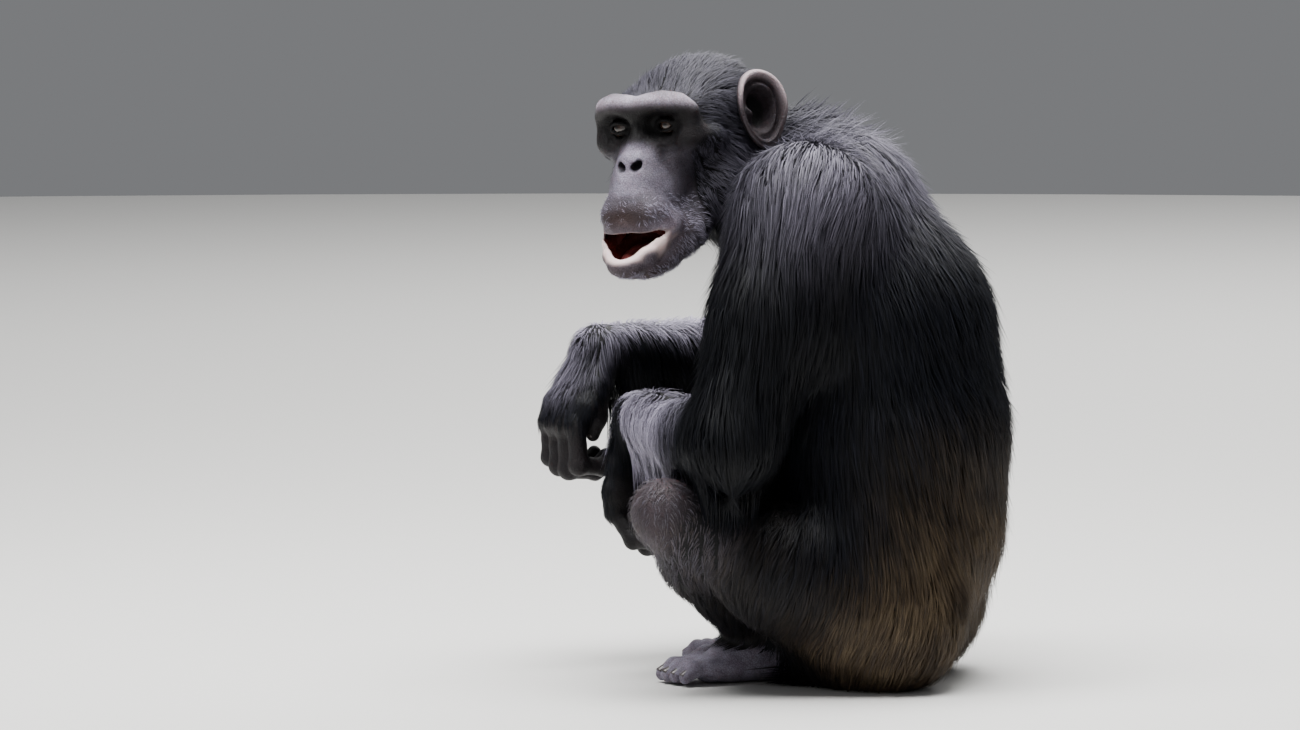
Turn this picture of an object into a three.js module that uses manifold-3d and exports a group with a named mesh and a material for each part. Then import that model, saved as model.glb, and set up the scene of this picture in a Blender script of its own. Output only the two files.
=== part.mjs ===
// A life-size chimpanzee that sits hunched on the ground and looks back over its left shoulder.
// Millimetres. +Z is up, the chest faces -Y and +X is the animal's left.
// The body is a smooth surface round bones and lumps, cut into its named parts.
import * as THREE from 'three';
import { mergeVertices } from 'three/addons/utils/BufferGeometryUtils.js';
import Module from 'manifold-3d';

const wasm = await Module();
wasm.setup();

// Driving sizes.
const GAP = 0.35;                // left between parts that touch
const PINCH = 0.06;              // each side gives where a surface would touch itself
const CORE_SHARE = 0.5;          // how far the solid core fills the coat
const SEED = 20;                 // of the coat's random draws
const HEAD_CENTRE = [16, -89, 538];   // midway between the ear canals
const HEAD_TURN = 70;            // degrees from straight ahead to the animal's left
const HEAD_NOD = 3;              // degrees, chin down
const HEAD_TILT = 4.6;           // degrees, chin towards the animal's left
const EYE_AT = [69, 27, 17];     // forward, left, up from the head's centre
const EYE_RADIUS = 10.5;
const LEFT_EAR_AT = [-11, 79, 21];
const RIGHT_EAR_AT = [-18, -75, 12];
const EAR_HEIGHT = 39;           // half sizes of an ear
const EAR_WIDTH = 26;
const PALM_LONG = 68;
const FACE_STARTS = 34;          // forward of the head's centre
const NECK_JOIN = 16;            // widths over which flesh runs together
const SHOULDER_JOIN = 40;
const HIP_JOIN = 30;
const TRUNK_CELL = 44;           // grid steps of the surfaces, finer where the form is finer
const LIMB_CELL = 32;
const LIMB_ROOM_CELL = 40;
const NECK_CELL = 28;
const NECK_ROOM_CELL = 34;
const SCALP_CELL = 26;
const FACE_CELL = 9.2;
const JAW_CELL = 10;
const FOOT_CELL = 14;
const LOCK_SINK = 9;             // how deep a lock's root is sunk in the core

// Joints of the left and right limbs.
const LEFT = {
  shoulder: [128, 52, 470], elbow: [204, 0, 250], wrist: [14, -136, 258],
  hip: [88, 134, 68], knee: [192, -70, 180], ankle: [42, -8, 46],
};
const RIGHT = {
  shoulder: [-128, 38, 462], elbow: [-230, -32, 298], wrist: [-75, -203, 318],
  hip: [-84, 120, 68], knee: [-160, -96, 208], ankle: [-50, -14, 46],
};

// Pose of each hand: the way its back faces, the side its thumb is on, the angle of each bone from
// straight down towards the palm, how the fingers spread, and how far past the wrist and below it
// the palm starts.
const HAND_POSES = {
  right: { back: [0.72, -0.69, 0], thumb: [0.69, 0.72, 0], bends: [-30, 4, 84, 140],
    spread: 0.0008, ahead: 5, drop: 15 },
  left: { back: [-0.43, -0.9, 0], thumb: [-0.9, 0.43, 0], bends: [-4, 42, 90, 120],
    spread: 0.0006, ahead: 13, drop: 27 },
};
const TOES_POINT = { left: [0.6, -0.8, 0], right: [-0.5, -0.86, 0] };

// Fingers and toes from the thumb's side: place across, share of the full length, thickness.
const FINGERS = [[28, 0.94, 9.6], [9.5, 1.04, 10], [-9, 1, 9.6], [-27, 0.86, 8.6]];
const FINGER_STEPS = [12, 21, 21, 15, 15, 19];
const TOES = [[21, 1.02, 8.6], [7, 1.06, 8.4], [-7, 0.98, 8], [-21, 0.86, 7.4]];

// Half outline of an ear, from the middle of its back over the rolled rim into the dish.
const EAR_PROFILE = [[0, -18], [12, -17], [24, -9], [36, 0], [40.5, 5], [39, 10], [34, 9],
  [31, 3.5], [24, 4.5], [17, -5], [9, -10], [0, -10]];
const EAR_PROFILE_SIZE = 40;

// A lock of the long coat has rings of three points: how far along it each lies, its share of the
// rise past the core, its half width and its thickness there. It ends in a point.
const LOCK_RINGS = [
  { at: 0, risen: null, half: 0.14, thick: 3 },
  { at: 0.3, risen: -0.3, half: 0.5, thick: 9 },
  { at: 0.66, risen: 0.35, half: 0.42, thick: 6 },
  { at: 1, risen: 1, half: 0, thick: 0 },
];
const LOCK_LENGTHS = [1, 0.85, 0.7, 0.55];   // tried one after the other where there is little room

// Small vector arithmetic on [x, y, z] lists.
const add = (a, b) => [a[0] + b[0], a[1] + b[1], a[2] + b[2]];
const sub = (a, b) => [a[0] - b[0], a[1] - b[1], a[2] - b[2]];
const scale = (a, s) => [a[0] * s, a[1] * s, a[2] * s];
const dot = (a, b) => a[0] * b[0] + a[1] * b[1] + a[2] * b[2];
const cross = (a, b) => [
  a[1] * b[2] - a[2] * b[1], a[2] * b[0] - a[0] * b[2], a[0] * b[1] - a[1] * b[0],
];
const length = (a) => Math.hypot(a[0], a[1], a[2]);
const unit = (a) => scale(a, 1 / (length(a) || 1));
const mix = (a, b, t) => add(scale(a, 1 - t), scale(b, t));
const radians = (degrees) => degrees * Math.PI / 180;
const clamp = (x, low, high) => Math.min(high, Math.max(low, x));

// The head's own axes: forward, left and up.
function headAxes() {
  const [turn, nod, tilt] = [HEAD_TURN, HEAD_NOD, HEAD_TILT].map(radians);
  const ahead = [Math.sin(turn), -Math.cos(turn), 0];
  const side = [Math.cos(turn), Math.sin(turn), 0];
  const top = [0, 0, 1];
  const forward = sub(scale(ahead, Math.cos(nod)), scale(top, Math.sin(nod)));
  const risen = add(scale(top, Math.cos(nod)), scale(ahead, Math.sin(nod)));
  return {
    forward,
    left: add(scale(side, Math.cos(tilt)), scale(risen, Math.sin(tilt))),
    up: sub(scale(risen, Math.cos(tilt)), scale(side, Math.sin(tilt))),
  };
}
const HEAD = headAxes();

// A point given as forward, left and up of the head's centre.
const onHead = ([f, l, u]) => add(HEAD_CENTRE,
  add(scale(HEAD.forward, f), add(scale(HEAD.left, l), scale(HEAD.up, u))));
const toHead = (p) => {
  const q = sub(p, HEAD_CENTRE);
  return [dot(q, HEAD.forward), dot(q, HEAD.left), dot(q, HEAD.up)];
};

// A tapered bone with flesh round it. wide and by make it broader along one direction.
function bone(a, b, ra, rb, options = {}) {
  const { blend = 20, coat = 0, wide = null, by = 1 } = options;
  const along = sub(b, a);
  const square = dot(along, along) || 1;
  const broad = wide && unit(wide);
  const shrink = 1 - 1 / by;
  const grow = coat * CORE_SHARE;
  const distance = (p) => {
    let q = sub(p, a);
    const t = clamp(dot(q, along) / square, 0, 1);
    q = sub(q, scale(along, t));
    if (broad) q = sub(q, scale(broad, dot(q, broad) * shrink));
    return length(q) - (ra + (rb - ra) * t) - grow;
  };
  return { distance, blend };
}

// An egg of flesh. axes are its three directions, radii its half sizes along them.
function lump(centre, radii, options = {}) {
  const { blend = 20, coat = 0, axes = [[1, 0, 0], [0, 1, 0], [0, 0, 1]] } = options;
  const size = radii.map((r) => r + coat * CORE_SHARE);
  const distance = (p) => {
    const q = sub(p, centre);
    const s = [dot(q, axes[0]) / size[0], dot(q, axes[1]) / size[1], dot(q, axes[2]) / size[2]];
    const near = length(s);
    const steep = length([s[0] / size[0], s[1] / size[1], s[2] / size[2]]);
    return steep < 1e-9 ? -Math.min(...size) : near * (near - 1) / steep;
  };
  return { distance, blend };
}

// Smooth joining of two distances over a given width.
function soften(a, b, width) {
  const near = Math.max(width - Math.abs(a - b), 0) / width;
  return Math.min(a, b) - near * near * width / 4;
}
const blended = (pieces) => (p) => pieces.reduce(
  (d, piece) => soften(d, piece.distance(p), piece.blend), 1e6);
const carved = (field, hollows) => (p) => hollows.reduce(
  (d, hollow) => -soften(-d, hollow.distance(p), hollow.blend), field(p));

// Trunk, neck and shoulders.
const ACROSS = [1, 0, 0];
const mirror = (p) => [-p[0], p[1], p[2]];
const both = (make) => [make((p) => p), make(mirror)].flat();
const TRUNK = [
  bone([0, 94, 90], [0, 107, 150], 76, 101, { wide: ACROSS, by: 1.45, coat: 20, blend: 24 }),
  bone([0, 107, 150], [0, 106, 245], 101, 108, { wide: ACROSS, by: 1.34, coat: 20, blend: 24 }),
  bone([0, 106, 245], [0, 94, 350], 108, 105, { wide: ACROSS, by: 1.22, coat: 20, blend: 24 }),
  bone([0, 94, 350], [0, 52, 440], 105, 87, { wide: ACROSS, by: 1.2, coat: 22, blend: 24 }),
  ...both((m) => [
    bone([0, 62, 478], m([104, 54, 460]), 46, 50, { coat: 22, blend: 30 }),
    bone(m([80, 60, 446]), m([84, 100, 360]), 50, 46, { coat: 20, blend: 36 }),
    lump(m([66, 92, 66]), [60, 60, 66], { coat: 18, blend: 36 }),
  ]),
];
const NECK = [
  bone([-6, 42, 462], onHead([-26, -14, -42]), 54, 38, { coat: 18, blend: 30 }),
  bone([-14, 34, 508], onHead([-48, -20, 4]), 32, 29, { coat: 18, blend: 24, wide: [0, 0, 1], by: 1.36 }),
];

// One arm down to the wrist, and one leg down to the ankle.
function armPieces(side) {
  const { shoulder, elbow, wrist } = side;
  const middle = mix(shoulder, elbow, 0.45);
  const belly = mix(elbow, wrist, 0.3);
  return {
    upper: [
      bone(shoulder, middle, 56, 46, { coat: 18, blend: 30 }),
      bone(middle, elbow, 46, 35, { coat: 16, blend: 25 }),
    ],
    lower: [
      bone(elbow, belly, 35, 37, { coat: 14, blend: 15 }),
      bone(belly, mix(elbow, wrist, 0.82), 37, 25, { coat: 14, blend: 15 }),
      bone(mix(elbow, wrist, 0.82), wrist, 25, 23, { coat: 10, blend: 15 }),
    ],
  };
}
function legPieces(side) {
  const { hip, knee, ankle } = side;
  const middle = mix(hip, knee, 0.5);
  const calf = mix(knee, ankle, 0.35);
  return {
    upper: [
      bone(hip, middle, 64, 50, { coat: 14, blend: 35 }),
      bone(middle, knee, 50, 31, { coat: 10, blend: 25 }),
    ],
    lower: [
      bone(knee, calf, 31, 36, { coat: 8, blend: 12 }),
      bone(calf, ankle, 36, 21, { coat: 7, blend: 12 }),
    ],
  };
}
const ARM = { left: armPieces(LEFT), right: armPieces(RIGHT) };
const LEG = { left: legPieces(LEFT), right: legPieces(RIGHT) };

// The head, in its own frame of forward, left and up.
const headBone = (a, b, ra, rb, options) => bone(onHead(a), onHead(b), ra, rb, options);
const HEAD_FRAME = [HEAD.forward, HEAD.left, HEAD.up];
const headLump = (c, radii, options = {}) => lump(onHead(c), radii, { axes: HEAD_FRAME, ...options });
const headLine = (points, radii, options) => points.slice(1).map((p, i) => headBone(
  points[i], p, radii[i], radii[i + 1], options));
const flip = (p) => [p[0], -p[1], p[2]];
const twice = (make) => [make((p) => p), make(flip)].flat();
const SKULL = [
  headLump([-9, 0, 17], [67, 57, 52], { coat: 11, blend: 18 }),
  headLump([-40, 0, 27], [44, 53, 43], { coat: 13, blend: 18 }),
  headLump([-30, 0, -8], [44, 53, 46], { coat: 14, blend: 25 }),
  headLump([48, 0, -14], [42, 46, 44], { blend: 22 }),
  ...twice((m) => [
    ...headLine([[84, 0, 35], [84, 14, 38], [80, 29, 39], [73, 42, 36], [66, 50, 28]].map(m),
      [8, 8.6, 9, 8.4, 7.4], { blend: 12 }),
    headBone(m([67, 50, 28]), m([64, 49, 4]), 7, 8, { blend: 10 }),
    headBone(m([66, 44, 2]), m([40, 57, 0]), 12, 12, { blend: 18 }),
    headLump(m([60, 27, 17]), [17, 21, 15], { blend: 10 }),
    headLump(m([24, 26, 22]), [36, 27, 26], { coat: 12, blend: 14 }),
    headBone(m([8, 54, -16]), m([26, 47, -52]), 16, 18, { coat: 14, blend: 22 }),
    headBone(m([98, 12, -30]), m([80, 17, 0]), 7, 6, { blend: 12 }),
  ]),
  headLump([80, 0, -50], [37, 38, 35], { blend: 20 }),
  headBone([81, 0, 20], [98, 0, -14], 7.5, 8, { blend: 12 }),
  headLump([99, 0, -17], [8, 16, 9], { blend: 8 }),
  headBone([111, -16, -68], [111, 16, -68], 12, 12, { blend: 20 }),
  ...twice((m) => [
    headBone(m([111, 16, -68]), m([90, 34, -76]), 12, 8, { blend: 18 }),
    ...headLine([[123, 0, -78], [120, 12, -78], [110, 24, -79], [97, 32, -82]].map(m),
      [4.6, 4.6, 4.4, 4], { blend: 7 }),
  ]),
];
const SOCKETS = twice((m) => headLump(m([94, 28, 17]), [22, 18, 12], { blend: 8 }));
const JAW = [
  ...twice((m) => [
    headBone(m([24, 42, -50]), m([64, 30, -90]), 19, 16, { coat: 8, blend: 22 }),
    headBone(m([64, 30, -90]), m([106, 13, -114]), 16, 12, { blend: 18 }),
    ...headLine([[97, 33, -85], [111, 29, -95], [123, 21, -106], [131, 10, -115], [134, 0, -118]]
      .map(m), [4, 5, 6, 6.5, 6.5], { blend: 10 }),
  ]),
  headLump([88, 0, -111], [34, 27, 17], { blend: 20 }),
];
const trunkOnly = blended([...TRUNK, ...NECK]);
const skullField = carved(blended(SKULL), SOCKETS);
const jawField = blended(JAW);
const faceField = (p) => soften(skullField(p), jawField(p), NECK_JOIN);
const joined = (base, limb, width) => (p) => soften(base(p), limb(p), width);
const upperArm = { left: blended(ARM.left.upper), right: blended(ARM.right.upper) };
const thigh = { left: blended(LEG.left.upper), right: blended(LEG.right.upper) };
const wholeArm = {
  left: blended([...ARM.left.upper, ...ARM.left.lower]),
  right: blended([...ARM.right.upper, ...ARM.right.lower]),
};
const wholeLeg = {
  left: blended([...LEG.left.upper, ...LEG.left.lower]),
  right: blended([...LEG.right.upper, ...LEG.right.lower]),
};
const trunkField = (p) => {
  const base = trunkOnly(p);
  return Math.min(
    soften(base, upperArm.left(p), SHOULDER_JOIN), soften(base, upperArm.right(p), SHOULDER_JOIN),
    soften(base, thigh.left(p), HIP_JOIN), soften(base, thigh.right(p), HIP_JOIN),
    soften(base, faceField(p), NECK_JOIN));
};
const armField = (s) => joined(trunkOnly, wholeArm[s], SHOULDER_JOIN);
const legField = (s) => joined(trunkOnly, wholeLeg[s], HIP_JOIN);
const headField = joined(trunkOnly, faceField, NECK_JOIN);

// Closed surface of a field inside a box of cells, by surface nets: one point in each cell that
// the surface crosses, moved onto the surface, and four of them round each crossed edge.
function skinOf(field, low, high, cell, smooth = true, level = 0) {
  const n = [0, 1, 2].map((i) => Math.ceil((high[i] - low[i]) / cell) + 1);
  const at = (i, j, k) => (k * n[1] + j) * n[0] + i;
  const place = (i, j, k) => [low[0] + i * cell, low[1] + j * cell, low[2] + k * cell];
  const value = new Float64Array(n[0] * n[1] * n[2]);
  for (let k = 0; k < n[2]; k++) {
    for (let j = 0; j < n[1]; j++) {
      for (let i = 0; i < n[0]; i++) {
        const rim = i === 0 || j === 0 || k === 0
          || i === n[0] - 1 || j === n[1] - 1 || k === n[2] - 1;
        const d = field(place(i, j, k)) - level;
        value[at(i, j, k)] = rim ? Math.max(d, cell / 2) : d;
      }
    }
  }
  const points = [];
  const corner = [];
  const pointOf = new Map();
  const corners = [0, 1, 2, 3, 4, 5, 6, 7].map((c) => [c & 1, (c >> 1) & 1, (c >> 2) & 1]);
  const edges = [];
  corners.forEach((c, a) => [1, 2, 4].forEach((bit) => { if (!(a & bit)) edges.push([a, a | bit]); }));
  for (let k = 0; k < n[2] - 1; k++) {
    for (let j = 0; j < n[1] - 1; j++) {
      for (let i = 0; i < n[0] - 1; i++) {
        const v = corners.map((c) => value[at(i + c[0], j + c[1], k + c[2])]);
        if (v.every((x) => x < 0) || v.every((x) => x >= 0)) continue;
        let sum = [0, 0, 0];
        let count = 0;
        for (const [a, b] of edges) {
          if ((v[a] < 0) === (v[b] < 0)) continue;
          sum = add(sum, mix(corners[a], corners[b], v[a] / (v[a] - v[b])));
          count++;
        }
        pointOf.set(at(i, j, k), points.length);
        points.push(add(place(i, j, k), scale(sum, cell / count)));
        corner.push(place(i, j, k));
      }
    }
  }
  const triangles = [];
  const turns = [[1, 2], [2, 0], [0, 1]];
  for (let k = 0; k < n[2] - 1; k++) {
    for (let j = 0; j < n[1] - 1; j++) {
      for (let i = 0; i < n[0] - 1; i++) {
        const here = [i, j, k];
        for (let axis = 0; axis < 3; axis++) {
          const next = here.slice();
          next[axis]++;
          const inside = value[at(i, j, k)] < 0;
          if (inside === value[at(...next)] < 0) continue;
          const [u, w] = turns[axis];
          const ring = [[0, 0], [-1, 0], [-1, -1], [0, -1]].map(([du, dw]) => {
            const cellAt = here.slice();
            cellAt[u] += du;
            cellAt[w] += dw;
            return pointOf.get(at(...cellAt));
          });
          const [a, b, c, d] = inside ? ring : ring.reverse();
          const short = length(sub(points[a], points[c])) < length(sub(points[b], points[d]));
          triangles.push(...(short ? [a, b, c, a, c, d] : [a, b, d, b, c, d]));
        }
      }
    }
  }
  // Each point stays in its own cell, so that the surface never folds through itself.
  const settled = points.map((p, i) => settle(field, p, level).map(
    (x, axis) => clamp(x, corner[i][axis], corner[i][axis] + cell)));
  return meshOf(smooth ? settled : points, triangles);
}

// The way out of a field, and a point moved onto its surface.
function slope(field, p) {
  const step = 1;
  return [0, 1, 2].map((i) => {
    const d = [0, 0, 0];
    d[i] = step;
    return (field(add(p, d)) - field(sub(p, d))) / (2 * step);
  });
}
function settle(field, p, level = 0) {
  let q = p;
  for (let turn = 0; turn < 3; turn++) {
    const g = slope(field, q);
    q = sub(q, scale(g, (field(q) - level) / Math.max(dot(g, g), 0.2)));
  }
  return q;
}

function meshOf(points, triangles) {
  const made = new THREE.BufferGeometry();
  made.setAttribute('position', new THREE.Float32BufferAttribute(points.flat(), 3));
  made.setIndex(triangles);
  return made;
}

// Between three.js geometry and solids that can be joined and cut.
function cleaned(geometry) {
  const bare = geometry.clone();
  ['normal', 'uv'].forEach((name) => bare.deleteAttribute(name));
  const merged = mergeVertices(bare, 1e-3);
  const corners = merged.index.array;
  const kept = [];
  for (let i = 0; i < corners.length; i += 3) {
    const [a, b, c] = [corners[i], corners[i + 1], corners[i + 2]];
    if (a !== b && b !== c && c !== a) kept.push(a, b, c);
  }
  return merged.setIndex(kept);
}
function solidOf(geometry) {
  const merged = cleaned(geometry);
  return new wasm.Manifold(new wasm.Mesh({
    numProp: 3,
    vertProperties: new Float32Array(merged.attributes.position.array),
    triVerts: new Uint32Array(merged.index.array),
  }));
}
function geometryOf(solid) {
  const mesh = solid.getMesh();
  const made = new THREE.BufferGeometry();
  made.setAttribute('position', new THREE.BufferAttribute(new Float32Array(mesh.vertProperties), 3));
  made.setIndex(Array.from(mesh.triVerts));
  return made;
}
const largest = (solid) => solid.decompose()
  .sort((a, b) => b.volume() - a.volume())[0];
const joinAll = (solids) => solids.reduce((a, b) => a.add(b));
const without = (solid, takers) => takers.reduce((a, b) => a.subtract(b), solid);

// A block that starts at a plane through point and reaches on along direction.
function block(point, direction, reach, width, shift = 0) {
  const box = new THREE.BoxGeometry(width, width, reach);
  box.translate(0, 0, reach / 2 + shift);
  const turn = new THREE.Quaternion().setFromUnitVectors(
    new THREE.Vector3(0, 0, 1), new THREE.Vector3(...unit(direction)));
  box.applyQuaternion(turn);
  box.translate(...point);
  return solidOf(box);
}
const GROUND = block([0, 0, 0], [0, 0, -1], 200, 1200);

// The same surface moved outwards, for the room a neighbour has to leave.
function swollen(geometry, distance = GAP) {
  const bigger = cleaned(geometry);
  bigger.computeVertexNormals();
  const { position, normal } = bigger.attributes;
  for (let i = 0; i < position.count; i++) {
    position.setXYZ(i, position.getX(i) + normal.getX(i) * distance,
      position.getY(i) + normal.getY(i) * distance,
      position.getZ(i) + normal.getZ(i) * distance);
  }
  return bigger;
}

// Draws the two sides of a surface apart where it touches itself at a point or along an edge.
function drawnApart(geometry) {
  geometry.computeVertexNormals();
  const { position, normal } = geometry.attributes;
  const met = new Map();
  for (let i = 0; i < position.count; i++) {
    const key = [position.getX(i), position.getY(i), position.getZ(i)]
      .map((x) => x.toFixed(3)).join();
    met.set(key, [...(met.get(key) ?? []), i]);
  }
  [...met.values()].filter((places) => places.length > 1).flat().forEach((i) => {
    position.setXYZ(i, position.getX(i) - normal.getX(i) * PINCH,
      position.getY(i) - normal.getY(i) * PINCH,
      position.getZ(i) - normal.getZ(i) * PINCH);
  });
  return geometry;
}

// Box round a set of points.
function boundsOf(points, margin) {
  return [
    [0, 1, 2].map((i) => Math.min(...points.map((p) => p[i])) - margin),
    [0, 1, 2].map((i) => Math.max(...points.map((p) => p[i])) + margin),
  ];
}
const widened = ([low, high], by) => [low.map((x) => x - by), high.map((x) => x + by)];

// A region of the body: its own surface, and the room in which its own flesh is the nearest.
const thinned = (geometry, tolerance) => geometryOf(solidOf(geometry).simplify(tolerance));
function region(surface, own, others, box, cell, roomCell) {
  const flesh = thinned(skinOf(surface, ...box, cell), 1.2);
  const nearest = (p) => own(p) - Math.min(...others.map((other) => other(p)));
  const room = thinned(skinOf(nearest, ...widened(box, 2 * roomCell), roomCell, false), 4);
  return {
    solid: solidOf(flesh).intersect(solidOf(room)),
    room: solidOf(swollen(room)),
  };
}

const group = new THREE.Group();
group.name = 'chimpanzee';
const finish = {
  coat: new THREE.MeshStandardMaterial({ color: 0x1d1b20, roughness: 0.75, metalness: 0 }),
  skin: new THREE.MeshStandardMaterial({ color: 0x4b4447, roughness: 0.6, metalness: 0 }),
  ear: new THREE.MeshStandardMaterial({ color: 0x7a6460, roughness: 0.6, metalness: 0 }),
  eye: new THREE.MeshStandardMaterial({ color: 0x2a1a12, roughness: 0.15, metalness: 0 }),
  tongue: new THREE.MeshStandardMaterial({ color: 0x9a5a58, roughness: 0.35, metalness: 0 }),
};
// Adds a piece, cut clear of those already there. Only the places where they meet are cut.
const pieces = [];
const crossing = (solid) => pieces.map((piece) => piece.solid)
  .filter((other) => !solid.intersect(other).isEmpty());
function swellWhereMet(solid, other) {
  const { min, max } = solid.intersect(other).boundingBox();
  const box = new THREE.BoxGeometry(...[0, 1, 2].map((i) => max[i] - min[i] + 6 * GAP));
  box.translate(...mix(min, max, 0.5));
  return solidOf(swollen(geometryOf(other))).intersect(solidOf(box));
}
function place(name, solid, material) {
  const swells = crossing(solid).map((other) => swellWhereMet(solid, other));
  const clear = without(solid, swells).simplify(0.1);
  pieces.push({ name, solid: largest(without(clear, crossing(clear))), material });
}

// Arms and legs, each split off where its own flesh is the nearest.
const torsoOnly = blended(TRUNK);
const neckOnly = blended(NECK);
const limbs = { armLeft: wholeArm.left, armRight: wholeArm.right,
  legLeft: wholeLeg.left, legRight: wholeLeg.right };
const others = (name, ...more) => Object.keys(limbs).filter((key) => key !== name)
  .map((key) => limbs[key]).concat(more);
const armBox = (side) => boundsOf([side.shoulder, side.elbow, side.wrist], 76);
const legBox = (side) => boundsOf([side.hip, side.knee, side.ankle], 80);
const regions = {
  armLeft: region(armField('left'), wholeArm.left, others('armLeft', trunkOnly, faceField),
    armBox(LEFT), LIMB_CELL, LIMB_ROOM_CELL),
  armRight: region(armField('right'), wholeArm.right, others('armRight', trunkOnly, faceField),
    armBox(RIGHT), LIMB_CELL, LIMB_ROOM_CELL),
  legLeft: region(legField('left'), wholeLeg.left, others('legLeft', trunkOnly),
    legBox(LEFT), LIMB_CELL, LIMB_ROOM_CELL),
  legRight: region(legField('right'), wholeLeg.right, others('legRight', trunkOnly),
    legBox(RIGHT), LIMB_CELL, LIMB_ROOM_CELL),
};
const armRooms = [regions.armLeft.room, regions.armRight.room];
const legRooms = [regions.legLeft.room, regions.legRight.room];

// A bent limb is parted where its two halves meet.
function partedAt(solid, a, b, c) {
  const along = unit(add(unit(sub(b, a)), unit(sub(c, b))));
  return {
    near: solid.subtract(block(b, along, 500, 900, -GAP / 2)),
    far: solid.subtract(block(b, scale(along, -1), 500, 900, -GAP / 2)),
  };
}
function armNodes(side, name, key) {
  const { shoulder, elbow, wrist } = side;
  const whole = key === 'armRight'
    ? regions[key].solid.subtract(regions.armLeft.room) : regions[key].solid;
  const split = partedAt(whole, shoulder, elbow, wrist);
  const hand = unit(sub(wrist, elbow));
  place(`upper_arm_${name}`, split.near, finish.coat);
  place(`forearm_${name}`, split.far.subtract(block(wrist, hand, 100, 200)), finish.coat);
}
function legNodes(side, name, key) {
  const { hip, knee, ankle } = side;
  const taken = key === 'legRight' ? [...armRooms, regions.legLeft.room] : armRooms;
  const whole = without(regions[key].solid, taken).subtract(GROUND);
  const split = partedAt(whole, hip, knee, ankle);
  const down = unit(sub(ankle, knee));
  place(`thigh_${name}`, split.near, finish.coat);
  place(`shin_${name}`, split.far.subtract(block(ankle, down, 100, 200)), finish.coat);
}
armNodes(LEFT, 'left', 'armLeft');
armNodes(RIGHT, 'right', 'armRight');
legNodes(LEFT, 'left', 'legLeft');
legNodes(RIGHT, 'right', 'legRight');

// Solids moved to a place on the head, with x forward, y left and z up.
function setOnHead(geometry, [f, l, u]) {
  const axes = HEAD_FRAME.map((axis) => new THREE.Vector3(...axis));
  geometry.applyMatrix4(new THREE.Matrix4().makeBasis(...axes));
  geometry.translate(...onHead([f, l, u]));
  return geometry;
}
function egg(radii, across, rings) {
  const made = new THREE.SphereGeometry(1, across, rings);
  made.scale(...radii);
  return made;
}

// A closed round tube through points, with a radius at each and rounded tips.
function tube(points, radii, sides, squash = 1, over = [0, 0, 1]) {
  const count = points.length;
  const rings = points.map((p, i) => {
    const along = unit(sub(points[Math.min(i + 1, count - 1)], points[Math.max(i - 1, 0)]));
    const across = unit(cross(over, along));
    return { p, across, over: cross(along, across), along };
  });
  const rim = rings.flatMap((ring, i) => [...Array(sides).keys()].map((k) => {
    const turn = 2 * Math.PI * k / sides;
    return add(ring.p, add(scale(ring.across, radii[i] * Math.cos(turn)),
      scale(ring.over, radii[i] * squash * Math.sin(turn))));
  }));
  const last = rings[count - 1];
  const tips = [sub(points[0], scale(rings[0].along, radii[0] * 0.45)),
    add(points[count - 1], scale(last.along, radii[count - 1] * 0.45))];
  const triangles = [];
  for (let k = 0; k < sides; k++) {
    const next = (k + 1) % sides;
    for (let i = 0; i < count - 1; i++) {
      const [a, b] = [i * sides + k, i * sides + next];
      triangles.push(a, b, b + sides, a, b + sides, a + sides);
    }
    const end = (count - 1) * sides;
    triangles.push(rim.length, next, k, rim.length + 1, end + k, end + next);
  }
  return meshOf([...rim, ...tips], triangles);
}

// Points along a curve through a few given ones, with radii to match.
function smoothTube(points, radii, steps, sides, squash, over) {
  const curve = new THREE.CatmullRomCurve3(points.map((p) => new THREE.Vector3(...p)));
  const places = curve.getPoints(steps).map((v) => v.toArray());
  const thickness = places.map((_, i) => {
    const at = i / steps * (radii.length - 1);
    const below = Math.min(Math.floor(at), radii.length - 2);
    return radii[below] + (radii[below + 1] - radii[below]) * (at - below);
  });
  return tube(places, thickness, sides, squash, over);
}

// Trunk, neck and head.
const headBox = boundsOf([onHead([-70, 0, 0]), onHead([112, 0, 0]), onHead([0, 0, 58]),
  onHead([84, 0, -94])], 62);
const headRoom = thinned(skinOf((p) => faceField(p) - Math.min(neckOnly(p), torsoOnly(p)),
  ...widened(headBox, 40), NECK_ROOM_CELL, false), 4);
const jawRoom = thinned(skinOf((p) => jawField(p)
  - Math.min(skullField(p), neckOnly(p), torsoOnly(p)),
...boundsOf([onHead([10, 0, -50]), onHead([130, 0, -130])], 74), 14, false), 1);
const headBlock = (low, high) => {
  const box = new THREE.BoxGeometry(...sub(high, low));
  return solidOf(setOnHead(box, mix(low, high, 0.5)));
};
const faceBlock = headBlock([FACE_STARTS, -78, -150], [170, 78, 100]);
const rearBlock = headBlock([-150, -150, -150], [FACE_STARTS + 0.5, 150, 150]);
const headFlesh = solidOf(skinOf(headField, ...headBox, FACE_CELL)).intersect(faceBlock)
  .add(solidOf(skinOf(headField, ...headBox, SCALP_CELL)).intersect(rearBlock)).simplify(0.9);
const mouth = egg([36, 29, 13], 12, 6);
mouth.rotateY(radians(20));
const mouthSolid = solidOf(setOnHead(mouth, [106, 0, -96]));
const nostrils = [1, -1].map((side) => {
  const made = egg([12, 5.6, 3.8], 8, 5);
  made.rotateX(radians(side * 24));
  made.rotateY(radians(20));
  made.rotateZ(radians(side * 16));
  return solidOf(setOnHead(made, [104, side * 7.6, -19]));
});

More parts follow.
